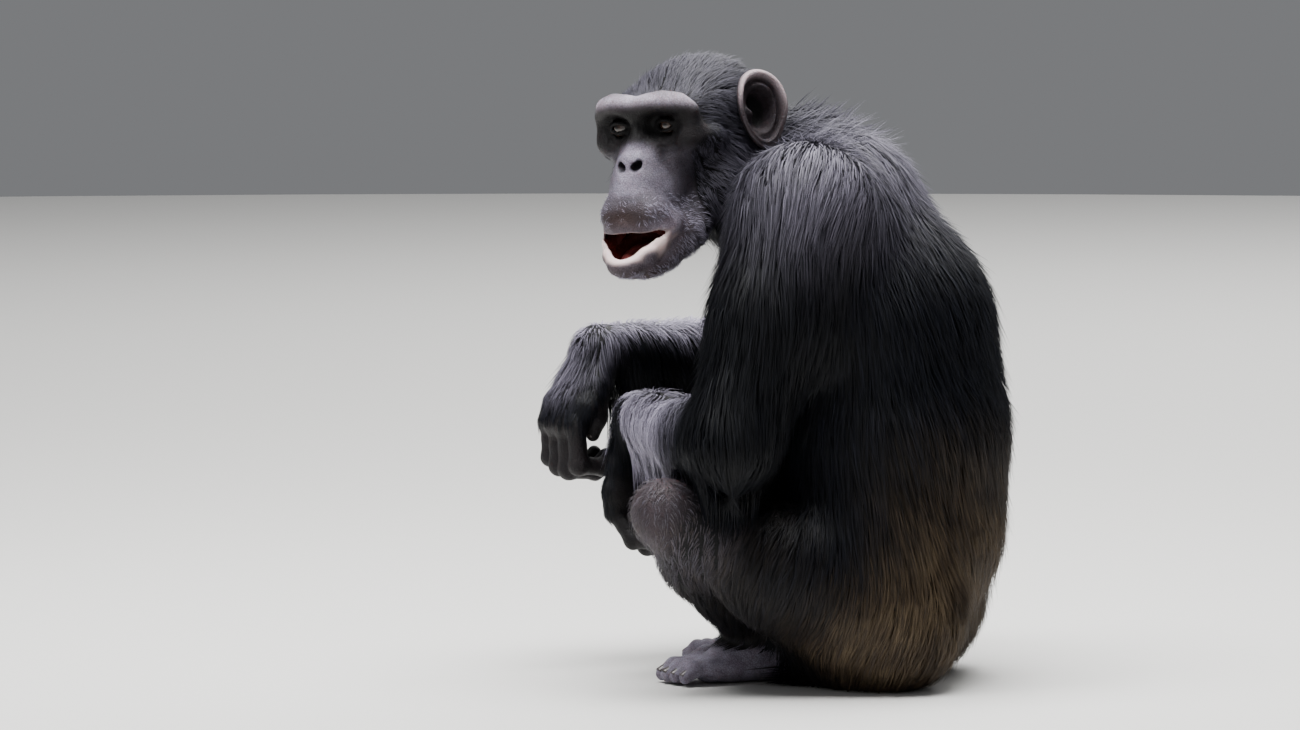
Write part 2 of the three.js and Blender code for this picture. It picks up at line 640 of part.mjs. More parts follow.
// Eyelids: an upper and a lower roll over each eyeball.
function lids(side) {
  const centre = [EYE_AT[0], EYE_AT[1] * side, EYE_AT[2]];
  return [[1, 30, 3.4], [-1, 30, 3.2]].map(([way, rise, thick]) => {
    const points = [-60, -34, 0, 34, 60].map((turn) => {
      const lift = radians(way * rise * Math.cos(radians(turn * 1.4)));
      const swing = radians(turn);
      const around = EYE_RADIUS + 0.6;
      return onHead(add(centre, [around * Math.cos(lift) * Math.cos(swing),
        around * Math.cos(lift) * Math.sin(swing), around * Math.sin(lift)]));
    });
    return solidOf(smoothTube(points, [2, thick, thick, thick, 2], 4, 5, 1, HEAD.up));
  });
}
const ball = (radius, side, across = 10, rings = 8) => solidOf(
  setOnHead(egg([radius, radius, radius], across, rings), [EYE_AT[0], EYE_AT[1] * side, EYE_AT[2]]));
const eyeHoles = [1, -1].map((side) => ball(EYE_RADIUS + 1.5, side, 8, 6));
const headSolid = without(joinAll([headFlesh, ...lids(1), ...lids(-1)]),
  [...armRooms, mouthSolid, ...nostrils, ...eyeHoles]);
const headOnly = headSolid.intersect(solidOf(headRoom));
const headSwell = solidOf(swollen(geometryOf(headFlesh)));
place('head', headOnly.subtract(solidOf(swollen(jawRoom))), finish.skin);
const jawFlesh = solidOf(skinOf(headField, ...boundsOf(
  [onHead([20, 0, -60]), onHead([118, 0, -112])], 62), JAW_CELL)).intersect(headBlock(
  [-10, -72, -150], [160, 72, -20])).simplify(0.9);
place('lower_jaw', without(jawFlesh.intersect(solidOf(jawRoom)), [...armRooms, mouthSolid]),
  finish.skin);
place('eye_left', ball(EYE_RADIUS, 1), finish.eye);
place('eye_right', ball(EYE_RADIUS, -1), finish.eye);

// The tongue lies on the mouth's floor, clear of it all round.
const tongueShape = egg([26, 17, 6.5], 10, 6);
tongueShape.rotateY(radians(20));
const tongue = solidOf(setOnHead(tongueShape, [102, 0, -105]));
place('tongue', tongue.intersect(solidOf(swollen(mouth, -GAP))), finish.tongue);

// An ear: a cupped dish with a rolled rim, taller than wide, set on the side of the head.
function ear(side, extra = 0) {
  const points = EAR_PROFILE.map(([r, z]) => new THREE.Vector2(r, z));
  const made = new THREE.LatheGeometry(points, 12);
  made.rotateX(Math.PI / 2);
  const { position } = made.attributes;
  for (let i = 0; i < position.count; i++) {
    const [x, y, z] = [position.getX(i), position.getY(i), position.getZ(i)];
    const broad = EAR_WIDTH / EAR_PROFILE_SIZE * (1 + y / 240);
    position.setXYZ(i, x * broad, y * EAR_HEIGHT / EAR_PROFILE_SIZE, z + x * x * 0.004);
  }
  const outward = unit([0.42, 0.9 * side, 0]);
  const across = cross([0, 0, 1], outward);
  made.applyMatrix4(new THREE.Matrix4().makeBasis(
    new THREE.Vector3(...across), new THREE.Vector3(0, 0, 1), new THREE.Vector3(...outward)));
  made.rotateX(radians(side * 8));
  setOnHead(made, side > 0 ? LEFT_EAR_AT : RIGHT_EAR_AT);
  return solidOf(extra ? swollen(made, extra) : made);
}

const neck = region(trunkField, neckOnly, [torsoOnly, faceField],
  [[-130, -120, 400], [140, 150, 640]], NECK_CELL, NECK_ROOM_CELL);
const headTaken = solidOf(swollen(headRoom));
const earsTaken = [ear(1, GAP), ear(-1, GAP)];
place('neck', without(neck.solid, [...armRooms, headTaken, ...earsTaken]), finish.coat);
place('ear_left', ear(1).subtract(headSwell), finish.ear);
place('ear_right', ear(-1).subtract(headSwell), finish.ear);
const trunkBox = [[-225, -170, -20], [225, 280, 610]];
const trunk = without(solidOf(skinOf(trunkField, ...trunkBox, TRUNK_CELL)).simplify(1.6),
  [...armRooms, ...legRooms, headTaken, neck.room, GROUND]);
place('torso', trunk, finish.coat);

// A hand from where its palm starts: palm, fingers and thumb.
const DOWN = [0, 0, -1];
function handSolid(start, { back, thumb, bends, spread }) {
  const towards = (angle) => add(scale(DOWN, Math.cos(radians(angle))),
    scale(back, -Math.sin(radians(angle))));
  const palmEnd = add(start, scale(towards(bends[0]), PALM_LONG));
  const at = (p, w, b = 0) => add(p, add(scale(thumb, w), scale(back, b)));
  const palm = tube([0, 0.3, 0.7, 1, 1.08].map((t) => mix(start, palmEnd, t)),
    [25, 31, 38, 38, 30], 10, 0.46, back);
  const tubes = FINGERS.map(([w, long, thick]) => {
    let p = at(mix(start, palmEnd, 0.86), w * 0.95, 1);
    const points = [p];
    const angles = [bends[0], bends[1], bends[1], bends[2], bends[2], bends[3]];
    FINGER_STEPS.forEach((step, i) => {
      p = add(p, scale(add(towards(angles[i]), scale(thumb, w * spread)), step * long));
      points.push(p);
    });
    const radii = [0.9, 1.1, 0.95, 1.1, 0.9, 0.98, 0.65].map((r) => r * thick);
    return solidOf(tube(points, radii, 5, 1, thumb));
  });
  const root = at(mix(start, palmEnd, 0.3), 20, -2);
  const hangs = towards(bends[0] * 0.6);
  const thumbPoints = [root, ...[[20, 8, 6], [40, 10, 11], [57, 6, 16]].map(
    ([far, out, under]) => at(add(root, scale(hangs, far)), out, -under))];
  const thumbTube = smoothTube(thumbPoints, [11, 9.5, 8.5, 6.5], 4, 7, 1, back);
  return joinAll([solidOf(palm), ...tubes, solidOf(thumbTube)]);
}
function handNode({ elbow, wrist }, name) {
  const pose = HAND_POSES[name];
  const set = { ...pose, back: unit(pose.back), thumb: unit(pose.thumb) };
  const arm = unit(sub(wrist, elbow));
  const stub = tube([add(wrist, scale(arm, -3)), add(wrist, scale(arm, 9)),
    add(wrist, add(scale(arm, set.ahead + 1), scale(DOWN, set.drop - 3))),
    add(wrist, add(scale(arm, set.ahead + 3), scale(DOWN, set.drop + 14)))], [25, 26, 27, 25], 9, 0.84,
  cross(set.thumb, unit(add(arm, DOWN))));
  const start = add(wrist, add(scale(arm, set.ahead), scale(DOWN, set.drop)));
  const whole = handSolid(start, set).add(solidOf(stub));
  place(`hand_${name}`, whole.subtract(block(wrist, scale(arm, -1), 100, 160, -GAP)), finish.skin);
}
handNode(RIGHT, 'right');
handNode(LEFT, 'left');

// A foot, sole flat on the ground, its toes turned out a little and bent down.
function footNode(side, name) {
  const [x, y, z] = side.ankle;
  const ahead = unit(TOES_POINT[name]);
  const inner = unit([-Math.sign(x) * Math.abs(ahead[1]), -Math.abs(ahead[0]), 0]);
  const at = (forward, inward, height) => [x + ahead[0] * forward + inner[0] * inward,
    y + ahead[1] * forward + inner[1] * inward, height];
  const flesh = blended([
    bone([x, y, z], at(-22, 0, 20), 23, 21, { blend: 10 }),
    bone([x, y, z], at(34, 0, 24), 22, 17, { blend: 14, wide: inner, by: 1.5 }),
    bone(at(-18, 0, 17), at(58, -2, 15), 17, 14, { blend: 12, wide: inner, by: 2.1 }),
  ]);
  const body = solidOf(skinOf(
    flesh, ...boundsOf([side.ankle, at(-26, 0, 20), at(64, 0, 15)], 42), FOOT_CELL));
  const toes = TOES.map(([w, long, thick]) => solidOf(smoothTube([at(46, w, 15),
    at(68, w * 1.02, 17), at(68 + 19 * long, w * 1.04, 15), at(68 + 27 * long, w * 1.05, 8)],
  [thick, thick, thick * 0.95, thick * 0.75], 4, 5, 1, [0, 0, 1])));
  const great = solidOf(smoothTube([at(8, 16, 16), at(28, 40, 15), at(46, 50, 14), at(58, 52, 9)],
    [14, 12, 10, 8], 4, 7, 1, [0, 0, 1]));
  const down = unit(sub(side.ankle, side.knee));
  const cut = block(side.ankle, scale(down, -1), 100, 120, -GAP);
  place(`foot_${name}`, joinAll([body, ...toes, great]).subtract(cut).subtract(GROUND), finish.skin);
}
footNode(LEFT, 'left');
footNode(RIGHT, 'right');

// The long coat. Each lock follows the body's surface the way the hair lies there, from a root
// sunk in the core out to the coat's tips.
let drawn = SEED;
const random = () => {
  drawn = (drawn * 48271) % 2147483647;
  return drawn / 2147483647;
};
const between = ([low, high]) => low + (high - low) * random();
const bodyField = (p) => Math.min(trunkField(p), wholeArm.left(p), wholeArm.right(p),
  wholeLeg.left(p), wholeLeg.right(p), faceField(p));

function lock(root, { lie, rise }, long, breadth, lean) {
  const rings = [];
  let twisted = false;
  let p = root;
  LOCK_RINGS.forEach(({ at, risen }, i) => {
    const on = settle(bodyField, p, risen === null ? -LOCK_SINK : rise * risen);
    const out = unit(slope(bodyField, on));
    const run = lie(on);
    const along = unit(sub(run, scale(out, dot(run, out))));
    const across = cross(out, along);
    const before = rings.at(-1);
    if (before && (dot(across, before.across) < 0.75
      || dot(sub(on, before.on), before.along) < before.step * 0.6)) twisted = true;
    const step = long * ((LOCK_RINGS[i + 1] ?? LOCK_RINGS[i]).at - at);
    rings.push({ on, out, across, along, step });
    p = add(on, add(scale(along, step), scale(across, step * lean * at)));
  });
  if (twisted) return null;
  const points = rings.slice(0, -1).flatMap(({ on, out, across }, i) => [
    add(on, scale(across, breadth * LOCK_RINGS[i].half)),
    add(on, scale(out, LOCK_RINGS[i].thick)),
    add(on, scale(across, -breadth * LOCK_RINGS[i].half)),
  ]);
  const tip = points.length;
  points.push(rings.at(-1).on);
  const triangles = [2, 1, 0];
  for (let k = 0; k < 3; k++) {
    const next = (k + 1) % 3;
    for (let i = 0; i < tip - 3; i += 3) {
      triangles.push(i + k, i + next + 3, i + k + 3, i + k, i + next, i + next + 3);
    }
    triangles.push(tip - 3 + k, tip - 3 + next, tip);
  }
  return meshOf(points, triangles);
}

// Root places spread over a node's outer surface, no closer than spacing.
function rootsOn(solid, { count, spacing, where }) {
  const surface = geometryOf(solid);
  const { position } = surface.attributes;
  const corner = (i) => [position.getX(i), position.getY(i), position.getZ(i)];
  const index = surface.index.array;
  const faces = [];
  let area = 0;
  for (let i = 0; i < index.length; i += 3) {
    const [a, b, c] = [corner(index[i]), corner(index[i + 1]), corner(index[i + 2])];
    area += length(cross(sub(b, a), sub(c, a))) / 2;
    faces.push({ a, b, c, upTo: area });
  }
  const found = [];
  for (let turn = 0; turn < 6000 && found.length < count; turn++) {
    const pick = random() * area;
    const { a, b, c } = faces.find((face) => face.upTo >= pick);
    const [u, v] = [Math.sqrt(random()), random()];
    const p = add(scale(a, 1 - u), add(scale(b, u * (1 - v)), scale(c, u * v)));
    const clear = found.every((other) => length(sub(other, p)) > spacing);
    if (clear && where(p) && Math.abs(bodyField(p)) < 3) found.push(p);
  }
  return found;
}

const armLie = ({ shoulder, elbow }) => () => add(unit(sub(elbow, shoulder)), [0, 0.25, 0]);
const foreLie = ({ elbow, wrist }) => () => add(scale(unit(sub(elbow, wrist)), 0.5), DOWN);
const thighLie = () => [0, -0.25, -1];
const scalpLie = (p) => {
  const [, l, u] = toHead(p);
  const fall = clamp((Math.abs(l) - 26) / 30 - u / 90, 0, 1.2);
  return sub(scale(HEAD.forward, -1), scale(HEAD.up, fall));
};
const onScalp = (p) => {
  const [f, l, u] = toHead(p);
  return f < 52 && f + Math.abs(l) * 0.2 < 58 && (u > 20 || f < 40) && u > -58;
};
const COAT = {
  torso: { count: 34, spacing: 66, long: [112, 150], wide: [52, 66], rise: 12,
    lie: () => [0, 0.12, -1], where: (p) => p[2] > 120 && p[1] > -10 },
  neck: { count: 6, spacing: 34, long: [62, 80], wide: [34, 42], rise: 22, cut: true,
    lie: () => [0, 0.9, 0.25], where: (p) => p[2] > 530 },
  head: { count: 12, spacing: 32, long: [60, 78], wide: [34, 42], rise: 7,
    lie: scalpLie, where: onScalp },
};
for (const [name, side] of [['left', LEFT], ['right', RIGHT]]) {
  COAT[`upper_arm_${name}`] = { count: 11, spacing: 50, long: [90, 120], wide: [46, 56], rise: 10,
    lie: armLie(side), where: (p) => p[2] > side.elbow[2] + 70 };
  COAT[`forearm_${name}`] = { count: 7, spacing: 38, long: [52, 70], wide: [34, 42], rise: 13,
    lie: foreLie(side), where: (p) => p[2] < side.elbow[2] + 30 };
  COAT[`thigh_${name}`] = { count: 8, spacing: 58, long: [88, 112], wide: [46, 56], rise: 8,
    lie: thighLie, where: (p) => p[2] > 90 && length(sub(p, side.knee)) > 75 };
}

// Grows a node's locks. One that would cross another node or its locks is made shorter, and left
// out where that isn't enough.
const swells = pieces.map((piece) => solidOf(swollen(geometryOf(piece.solid))));
const lockSwells = [];
function grownOn(piece, kind) {
  const taken = [...swells.filter((_, j) => pieces[j] !== piece), ...lockSwells, GROUND];
  const free = (solid) => taken.every((other) => solid.intersect(other).isEmpty());
  const blades = [];
  rootsOn(piece.solid, kind).forEach((root) => {
    const [long, breadth, lean] = [between(kind.long), between(kind.wide), random() * 0.5 - 0.25];
    const tries = LOCK_LENGTHS.map(
      (part) => lock(root, kind, long * part, breadth * part ** 0.5, lean));
    const made = tries.filter((blade) => blade && solidOf(blade).volume() > long * breadth);
    const blade = kind.cut ? made[0] : made.find((one) => free(solidOf(one)));
    if (blade) blades.push(blade);
  });
  lockSwells.push(...blades.map((blade) => solidOf(swollen(blade))));
  const locks = blades.map(solidOf);
  const trimmed = kind.cut ? locks.map((one) => without(one, taken)) : locks;
  const whole = joinAll([piece.solid, ...trimmed]).simplify(0.15);
  const near = pieces.map((other) => other.solid)
    .filter((other) => other !== piece.solid && !whole.intersect(other).isEmpty());
  return largest(without(whole, near));
}
pieces.forEach((piece) => {
  const kind = COAT[piece.name];
  if (kind) piece.solid = grownOn(piece, kind);
  const mesh = new THREE.Mesh(drawnApart(geometryOf(piece.solid)), piece.material);
  mesh.name = piece.name;
  group.add(mesh);
});

// The middle of the underside comes to the origin.
const bounds = new THREE.Box3().setFromObject(group);
const middle = bounds.getCenter(new THREE.Vector3());
group.position.set(-middle.x, -middle.y, -bounds.min.z);

export default group;
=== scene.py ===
"""Skin, coat, eyes and studio of a life-size chimpanzee model.

Points and sizes are in millimetres in the animal's own frame, as its solids were drawn: +Z up,
the chest towards -Y, its left towards +X. A mesh is turned to metres when it is made.
"""

import functools
import math

import bpy
import numpy as np
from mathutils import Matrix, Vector


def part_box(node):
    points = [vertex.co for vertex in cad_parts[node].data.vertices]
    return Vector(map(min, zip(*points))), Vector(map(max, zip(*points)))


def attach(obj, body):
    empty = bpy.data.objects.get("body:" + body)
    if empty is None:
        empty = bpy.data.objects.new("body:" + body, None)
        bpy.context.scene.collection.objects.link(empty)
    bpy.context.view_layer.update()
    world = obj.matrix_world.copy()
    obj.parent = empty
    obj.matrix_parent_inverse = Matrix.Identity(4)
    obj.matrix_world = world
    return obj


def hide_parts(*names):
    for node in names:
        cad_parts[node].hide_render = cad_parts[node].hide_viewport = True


bl_info = {
    "name": "Chimpanzee Model",
    "version": (1, 0, 0),
    "blender": (4, 5, 0),
    "location": "3D View > Sidebar > Chimpanzee",
    "description": "Builds the skin, coat, eyes and studio of a life-size chimpanzee",
    "category": "Object",
}

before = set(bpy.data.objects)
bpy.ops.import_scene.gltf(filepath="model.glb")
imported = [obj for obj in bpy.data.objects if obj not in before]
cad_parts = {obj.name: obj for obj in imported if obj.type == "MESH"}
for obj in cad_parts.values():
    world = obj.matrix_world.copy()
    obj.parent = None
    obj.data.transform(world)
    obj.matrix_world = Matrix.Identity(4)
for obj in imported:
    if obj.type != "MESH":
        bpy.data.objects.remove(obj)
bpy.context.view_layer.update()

# Driving sizes.
SEED = 20
HEAD_CENTRE = (16, -89, 538)
HEAD_TURN, HEAD_NOD, HEAD_TILT = 70, 3, 4.6
EYE_AT = (69, 27, 17)
EYE_RADIUS = 10.5
EARS_AT = {1: (-11, 79, 21), -1: (-22, -73, 7)}
EAR_HEIGHT, EAR_WIDTH = 39, 26
LEFT = {"shoulder": (128, 52, 470), "elbow": (204, 0, 250), "wrist": (14, -136, 258),
        "hip": (88, 134, 68), "knee": (192, -70, 180), "ankle": (42, -8, 46)}
RIGHT = {"shoulder": (-128, 38, 462), "elbow": (-230, -32, 298), "wrist": (-75, -203, 318),
         "hip": (-84, 120, 68), "knee": (-160, -96, 208), "ankle": (-50, -14, 46)}
SIDES = {"left": LEFT, "right": RIGHT}

# The photograph's view: how far the camera stands round from the animal's left side, how high,
# how far, and where the frame's middle lies from the origin, to the right and up.
VIEW_ROUND, VIEW_UP, VIEW_FAR = 12, 7, 7000
VIEW_MIDDLE = (-127, 310)
VIEW_WIDTH = 1300


# Small vector arithmetic.
def arr(*values):
    return np.array(values, float)


def unit(v):
    v = np.asarray(v, float)
    return v / np.maximum(np.linalg.norm(v, axis=-1, keepdims=True), 1e-9)


def mix(a, b, t):
    return np.asarray(a, float) * (1 - t) + np.asarray(b, float) * t


def dots(a, b):
    return np.einsum("ij,ij->i", a, b)


def away(p, place):
    """How far points lie from a place."""
    return np.linalg.norm(p - np.asarray(place, float), axis=1)


def ramp(x, low, high):
    """0 below low, 1 above high and a smooth rise between them. low may be the larger."""
    t = np.clip((np.asarray(x, float) - low) / (high - low), 0, 1)
    return t * t * (3 - 2 * t)


def head_axes():
    """The head's own axes: forward, left and up."""
    turn, nod, tilt = (math.radians(a) for a in (HEAD_TURN, HEAD_NOD, HEAD_TILT))
    ahead = arr(math.sin(turn), -math.cos(turn), 0)
    side = arr(math.cos(turn), math.sin(turn), 0)
    top = arr(0, 0, 1)
    forward = ahead * math.cos(nod) - top * math.sin(nod)
    risen = top * math.cos(nod) + ahead * math.sin(nod)
    return np.array([forward, side * math.cos(tilt) + risen * math.sin(tilt),
                     risen * math.cos(tilt) - side * math.sin(tilt)])


HEAD = head_axes()


def on_head(p):
    """A point given as forward, left and up of the head's centre."""
    return np.asarray(p, float) @ HEAD + HEAD_CENTRE


def to_head(p):
    return (p - np.array(HEAD_CENTRE, float)) @ HEAD.T


# From the animal's frame to the frame of the solids, by the left eye that both hold.
EYE_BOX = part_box("eye_left")
SHIFT = np.array((EYE_BOX[0] + EYE_BOX[1]) / 2) * 1000 - on_head(EYE_AT)


class Bone:
    """A tapered bone with flesh round it. wide and by make it broader along one direction."""

    def __init__(self, a, b, ra, rb, blend=20, coat=0, wide=None, by=1):
        self.a, self.b = np.asarray(a, float), np.asarray(b, float)
        self.ra, self.rb, self.blend, self.coat = ra, rb, blend, coat
        self.broad = None if wide is None else unit(wide)
        self.shrink = 1 - 1 / by
        self.ends = (self.a, self.b)
        self.reach = (ra * by + coat, rb * by + coat)

    def distance(self, p, share=0):
        along = self.b - self.a
        q = p - self.a
        t = np.clip(q @ along / max(along @ along, 1e-9), 0, 1)
        q = q - t[:, None] * along
        if self.broad is not None:
            q = q - (q @ self.broad * self.shrink)[:, None] * self.broad
        return np.sqrt(dots(q, q)) - (self.ra + (self.rb - self.ra) * t) - self.coat * share


class Lump:
    """An egg of flesh. axes are its three directions and radii its half sizes along them."""

    def __init__(self, centre, radii, blend=20, coat=0, axes=np.eye(3)):
        self.centre, self.radii = np.asarray(centre, float), np.asarray(radii, float)
        self.blend, self.coat, self.axes = blend, coat, axes
        self.ends = (self.centre,)
        self.reach = (max(radii) + coat,)

    def distance(self, p, share=0):
        size = self.radii + self.coat * share
        s = (p - self.centre) @ self.axes.T / size
        near = np.sqrt(dots(s, s))
        steep = np.sqrt(dots(s / size, s / size))
        return near * (near - 1) / np.maximum(steep, 1e-9)


def bone_line(points, radii, first_blend, blend, **more):
    """Bones one after another through points. The first has its own blend with the rest."""
    return [Bone(a, b, ra, rb, blend if k else first_blend, **more) for k, (a, b, ra, rb) in
            enumerate(zip(points, points[1:], radii, radii[1:]))]


def soften(a, b, width):
    """Smooth joining of two distances over a given width."""
    near = np.maximum(width - np.abs(a - b), 0) / width
    return np.minimum(a, b) - near * near * width / 4


def blended(parts):
    def field(p, share=0):
        d = parts[0].distance(p, share)
        for part in parts[1:]:
            d = soften(d, part.distance(p, share), part.blend)
        return d
    return near_only(field, parts)


NEARBY = 56


def near_only(field, parts):
    """The same field worked out only near its parts. Further off it is the way to a ball round them."""
    ends = np.array([e for part in parts for e in part.ends])
    reach = np.array([r for part in parts for r in part.reach])
    centre = (ends.min(0) + ends.max(0)) / 2
    radius = (away(ends, centre) + reach).max()

    def near(p, share=0):
        d = away(p, centre) - radius
        close = d < NEARBY
        if close.any():
            d[close] = field(p[close], share)
        return d
    return near


def both(make):
    return make(lambda p: p) + make(lambda p: (-p[0], p[1], p[2]))


def twice(make):
    return make(lambda p: p) + make(lambda p: (p[0], -p[1], p[2]))


ACROSS = (1, 0, 0)
TRUNK = [
    Bone((0, 94, 90), (0, 107, 150), 76, 101, 24, 20, ACROSS, 1.45),
    Bone((0, 107, 150), (0, 106, 245), 101, 108, 24, 20, ACROSS, 1.34),
    Bone((0, 106, 245), (0, 94, 350), 108, 105, 24, 20, ACROSS, 1.22),
    Bone((0, 94, 350), (0, 52, 440), 105, 87, 24, 22, ACROSS, 1.2),
] + both(lambda m: [
    Bone((0, 62, 478), m((104, 54, 460)), 46, 50, 30, 22),
    Bone(m((80, 60, 446)), m((84, 100, 360)), 50, 46, 36, 20),
    Lump(m((66, 92, 66)), (60, 60, 66), 36, 18),
])
NECK = [
    Bone((-6, 42, 462), on_head((-26, -14, -42)), 54, 38, 30, 18),
    Bone((-14, 34, 508), on_head((-48, -20, 4)), 32, 29, 24, 18, (0, 0, 1), 1.36),
]


def arm_parts(shoulder, elbow, wrist, **_):
    """Upper arm and forearm down to the wrist."""
    middle, belly, thin = mix(shoulder, elbow, 0.45), mix(elbow, wrist, 0.3), mix(elbow, wrist, 0.82)
    return ([Bone(shoulder, middle, 56, 46, 30, 18), Bone(middle, elbow, 46, 35, 25, 16)],
            [Bone(elbow, belly, 35, 37, 15, 14), Bone(belly, thin, 37, 25, 15, 14),
             Bone(thin, wrist, 25, 23, 15, 10)])


def leg_parts(hip, knee, ankle, **_):
    """Thigh and shin down to the ankle."""
    middle, calf = mix(hip, knee, 0.5), mix(knee, ankle, 0.35)
    return ([Bone(hip, middle, 64, 50, 35, 14), Bone(middle, knee, 50, 31, 25, 10)],
            [Bone(knee, calf, 31, 36, 12, 8), Bone(calf, ankle, 36, 21, 12, 7)])


def head_bone(a, b, ra, rb, blend, coat=0, **more):
    return Bone(on_head(a), on_head(b), ra, rb, blend, coat, **more)


def head_lump(c, radii, blend, coat=0, axes=HEAD):
    return Lump(on_head(c), radii, blend, coat, axes)


def head_line(points, radii, blend, coat=0):
    """Bones one after another through points of the head."""
    return bone_line([on_head(p) for p in points], radii, blend, blend, coat=coat)


SKULL = [
    head_lump((-9, 0, 17), (67, 57, 52), 18, 11),
    head_lump((-40, 0, 27), (44, 53, 43), 18, 13),
    head_lump((-30, 0, -8), (44, 53, 46), 25, 14),
    head_lump((48, 0, -14), (42, 46, 44), 22),
    head_lump((50, 0, 31), (29, 46, 15), 14, 5),
] + twice(lambda m: [
    *head_line([m(q) for q in ((84, 0, 35), (84, 14, 38), (80, 29, 39), (73, 42, 36), (66, 50, 28))],
               (8, 8.6, 9, 8.4, 7.4), 12),
    head_bone(m((67, 50, 28)), m((64, 49, 4)), 7, 8, 10),
    head_bone(m((66, 44, 2)), m((40, 57, 0)), 12, 12, 18),
    head_lump(m((60, 27, 17)), (17, 21, 15), 10),
    head_lump(m((24, 26, 22)), (36, 27, 26), 14, 12),
    head_bone(m((8, 54, -16)), m((26, 47, -52)), 16, 18, 22, 14),
    head_bone(m((98, 12, -30)), m((80, 17, 0)), 7, 6, 12),
]) + [
    head_lump((80, 0, -50), (37, 38, 35), 20),
    head_bone((81, 0, 20), (98, 0, -14), 7.5, 8, 12),
    head_lump((99, 0, -17), (8, 16, 9), 8),
    head_bone((111, -16, -68), (111, 16, -68), 12, 12, 20),
] + twice(lambda m: [
    head_bone(m((111, 16, -68)), m((90, 34, -76)), 12, 8, 18),
    *head_line([m(q) for q in ((123, 0, -78), (120, 12, -78), (110, 24, -79), (97, 32, -82))],
               (4.6, 4.6, 4.4, 4), 7),
])
SOCKETS = twice(lambda m: [head_lump(m((94, 28, 17)), (22, 18, 12), 8)])
JAW = twice(lambda m: [
    head_bone(m((24, 42, -50)), m((64, 30, -90)), 19, 16, 22, 8),
    head_bone(m((64, 30, -90)), m((106, 13, -114)), 16, 12, 18),
    *head_line([m(q) for q in ((97, 33, -85), (111, 29, -95), (123, 21, -106), (131, 10, -115),
                               (134, 0, -118))], (4, 5, 6, 6.5, 6.5), 10),
]) + [head_lump((88, 0, -111), (34, 27, 17), 20)]


def turned(axes, angles):
    """Axes turned by angles in degrees about forward, left and up, one after the other."""
    for axis, angle in enumerate(angles):
        c, s = math.cos(math.radians(angle)), math.sin(math.radians(angle))
        i, j = (axis + 1) % 3, (axis + 2) % 3
        step = np.eye(3)
        step[i, i], step[i, j], step[j, i], step[j, j] = c, s, -s, c
        axes = axes @ (HEAD.T @ step @ HEAD)
    return axes


# Holes in the head: the mouth, the nostrils and the beds of the eyes.
MOUTH_PARTS = [
    head_lump((104, 0, -98), (34, 25, 13), 2, axes=turned(HEAD, (0, 20, 0))),
    head_lump((114, 0, -93), (19, 21, 10), 8),
] + twice(lambda m: head_line([m(q) for q in ((117, 15, -95), (109, 26, -89), (98, 35, -83))],
                               (9, 7.5, 4), 6))
MOUTH = blended(MOUTH_PARTS)
NOSTRILS = [head_lump((104, side * 7.6, -19), (12, 6.4, 4.1), 2,
                      axes=turned(HEAD, (side * 24, 20, side * 16))) for side in (1, -1)]
EYE_BEDS = twice(lambda m: [head_lump(m(EYE_AT), (EYE_RADIUS + 0.6,) * 3, 1)])


def lid_parts(side):
    """An upper and a lower lid: fleshy rolls round each eyeball."""
    centre = np.array(EYE_AT) * (1, side, 1)
    parts = []
    for way, rise, thick in ((1, 26, 2.6), (-1, 27, 2.3)):
        rims = []
        for turn in np.linspace(-66, 66, 9):
            lift = math.radians(way * rise * math.cos(math.radians(turn * 1.36)))
            swing = math.radians(turn)
            rims.append(centre + (EYE_RADIUS + 0.5) * arr(
                math.cos(lift) * math.cos(swing), math.cos(lift) * math.sin(swing), math.sin(lift)))
        parts += [head_bone(a, b, thick, thick, 0) for a, b in zip(rims, rims[1:])]
    return parts


LIDS = [part for side in (1, -1) for part in lid_parts(side)]
LID_BLEND = 4

# Creases of the face as lines forward, left and up of the head's centre, with a width and a depth.
CREASES = [
    ([(96, 13, -12), (98, 22, -30), (96, 31, -52), (88, 37, -70)], 3.4, 1.6),
    ([(84, 30, -8), (86, 36, -26), (82, 42, -48)], 3.0, 1.0),
    ([(80, 12, 6), (84, 22, 3), (80, 36, 3), (70, 44, 8)], 2.6, 1.3),
    ([(82, 12, -1), (84, 24, -4), (78, 38, -3), (68, 48, 2)], 2.4, 0.9),
    ([(84, 14, -7), (84, 26, -11), (76, 42, -9)], 2.6, 0.8),
    ([(88, 5, 24), (92, 7, 12)], 2.4, 0.9),
    ([(74, 47, -62), (66, 47, -78), (60, 42, -92)], 3.2, 1.2),
    ([(64, 50, -52), (56, 50, -70), (50, 46, -84)], 3.2, 1.0),
    ([(110, 8, -27), (116, 9, -44), (120, 9, -58)], 2.6, 0.5),
    ([(112, 24, -118), (104, 30, -108), (94, 36, -98)], 2.8, 0.9),
]
CREASE_LINES = [
    (twice(lambda m, line=line: [head_bone(m(a), m(b), 0, 0, 1) for a, b in zip(line, line[1:])]),
     width, depth) for line, width, depth in CREASES]

trunk_only = blended(TRUNK + NECK)
skull_field = blended(SKULL)
jaw_field = blended(JAW)
ARMS = {name: arm_parts(**side) for name, side in SIDES.items()}
LEGS = {name: leg_parts(**side) for name, side in SIDES.items()}


def carve(d, p, hollows):
    for hollow in hollows:
        d = -soften(-d, hollow.distance(p), hollow.blend)
    return d


MOUTH_BLEND = 2.5


def whole_face(p, share=0):
    return soften(carve(skull_field(p, share), p, SOCKETS), jaw_field(p, share), 16)


face_field = near_only(whole_face, SKULL + JAW)


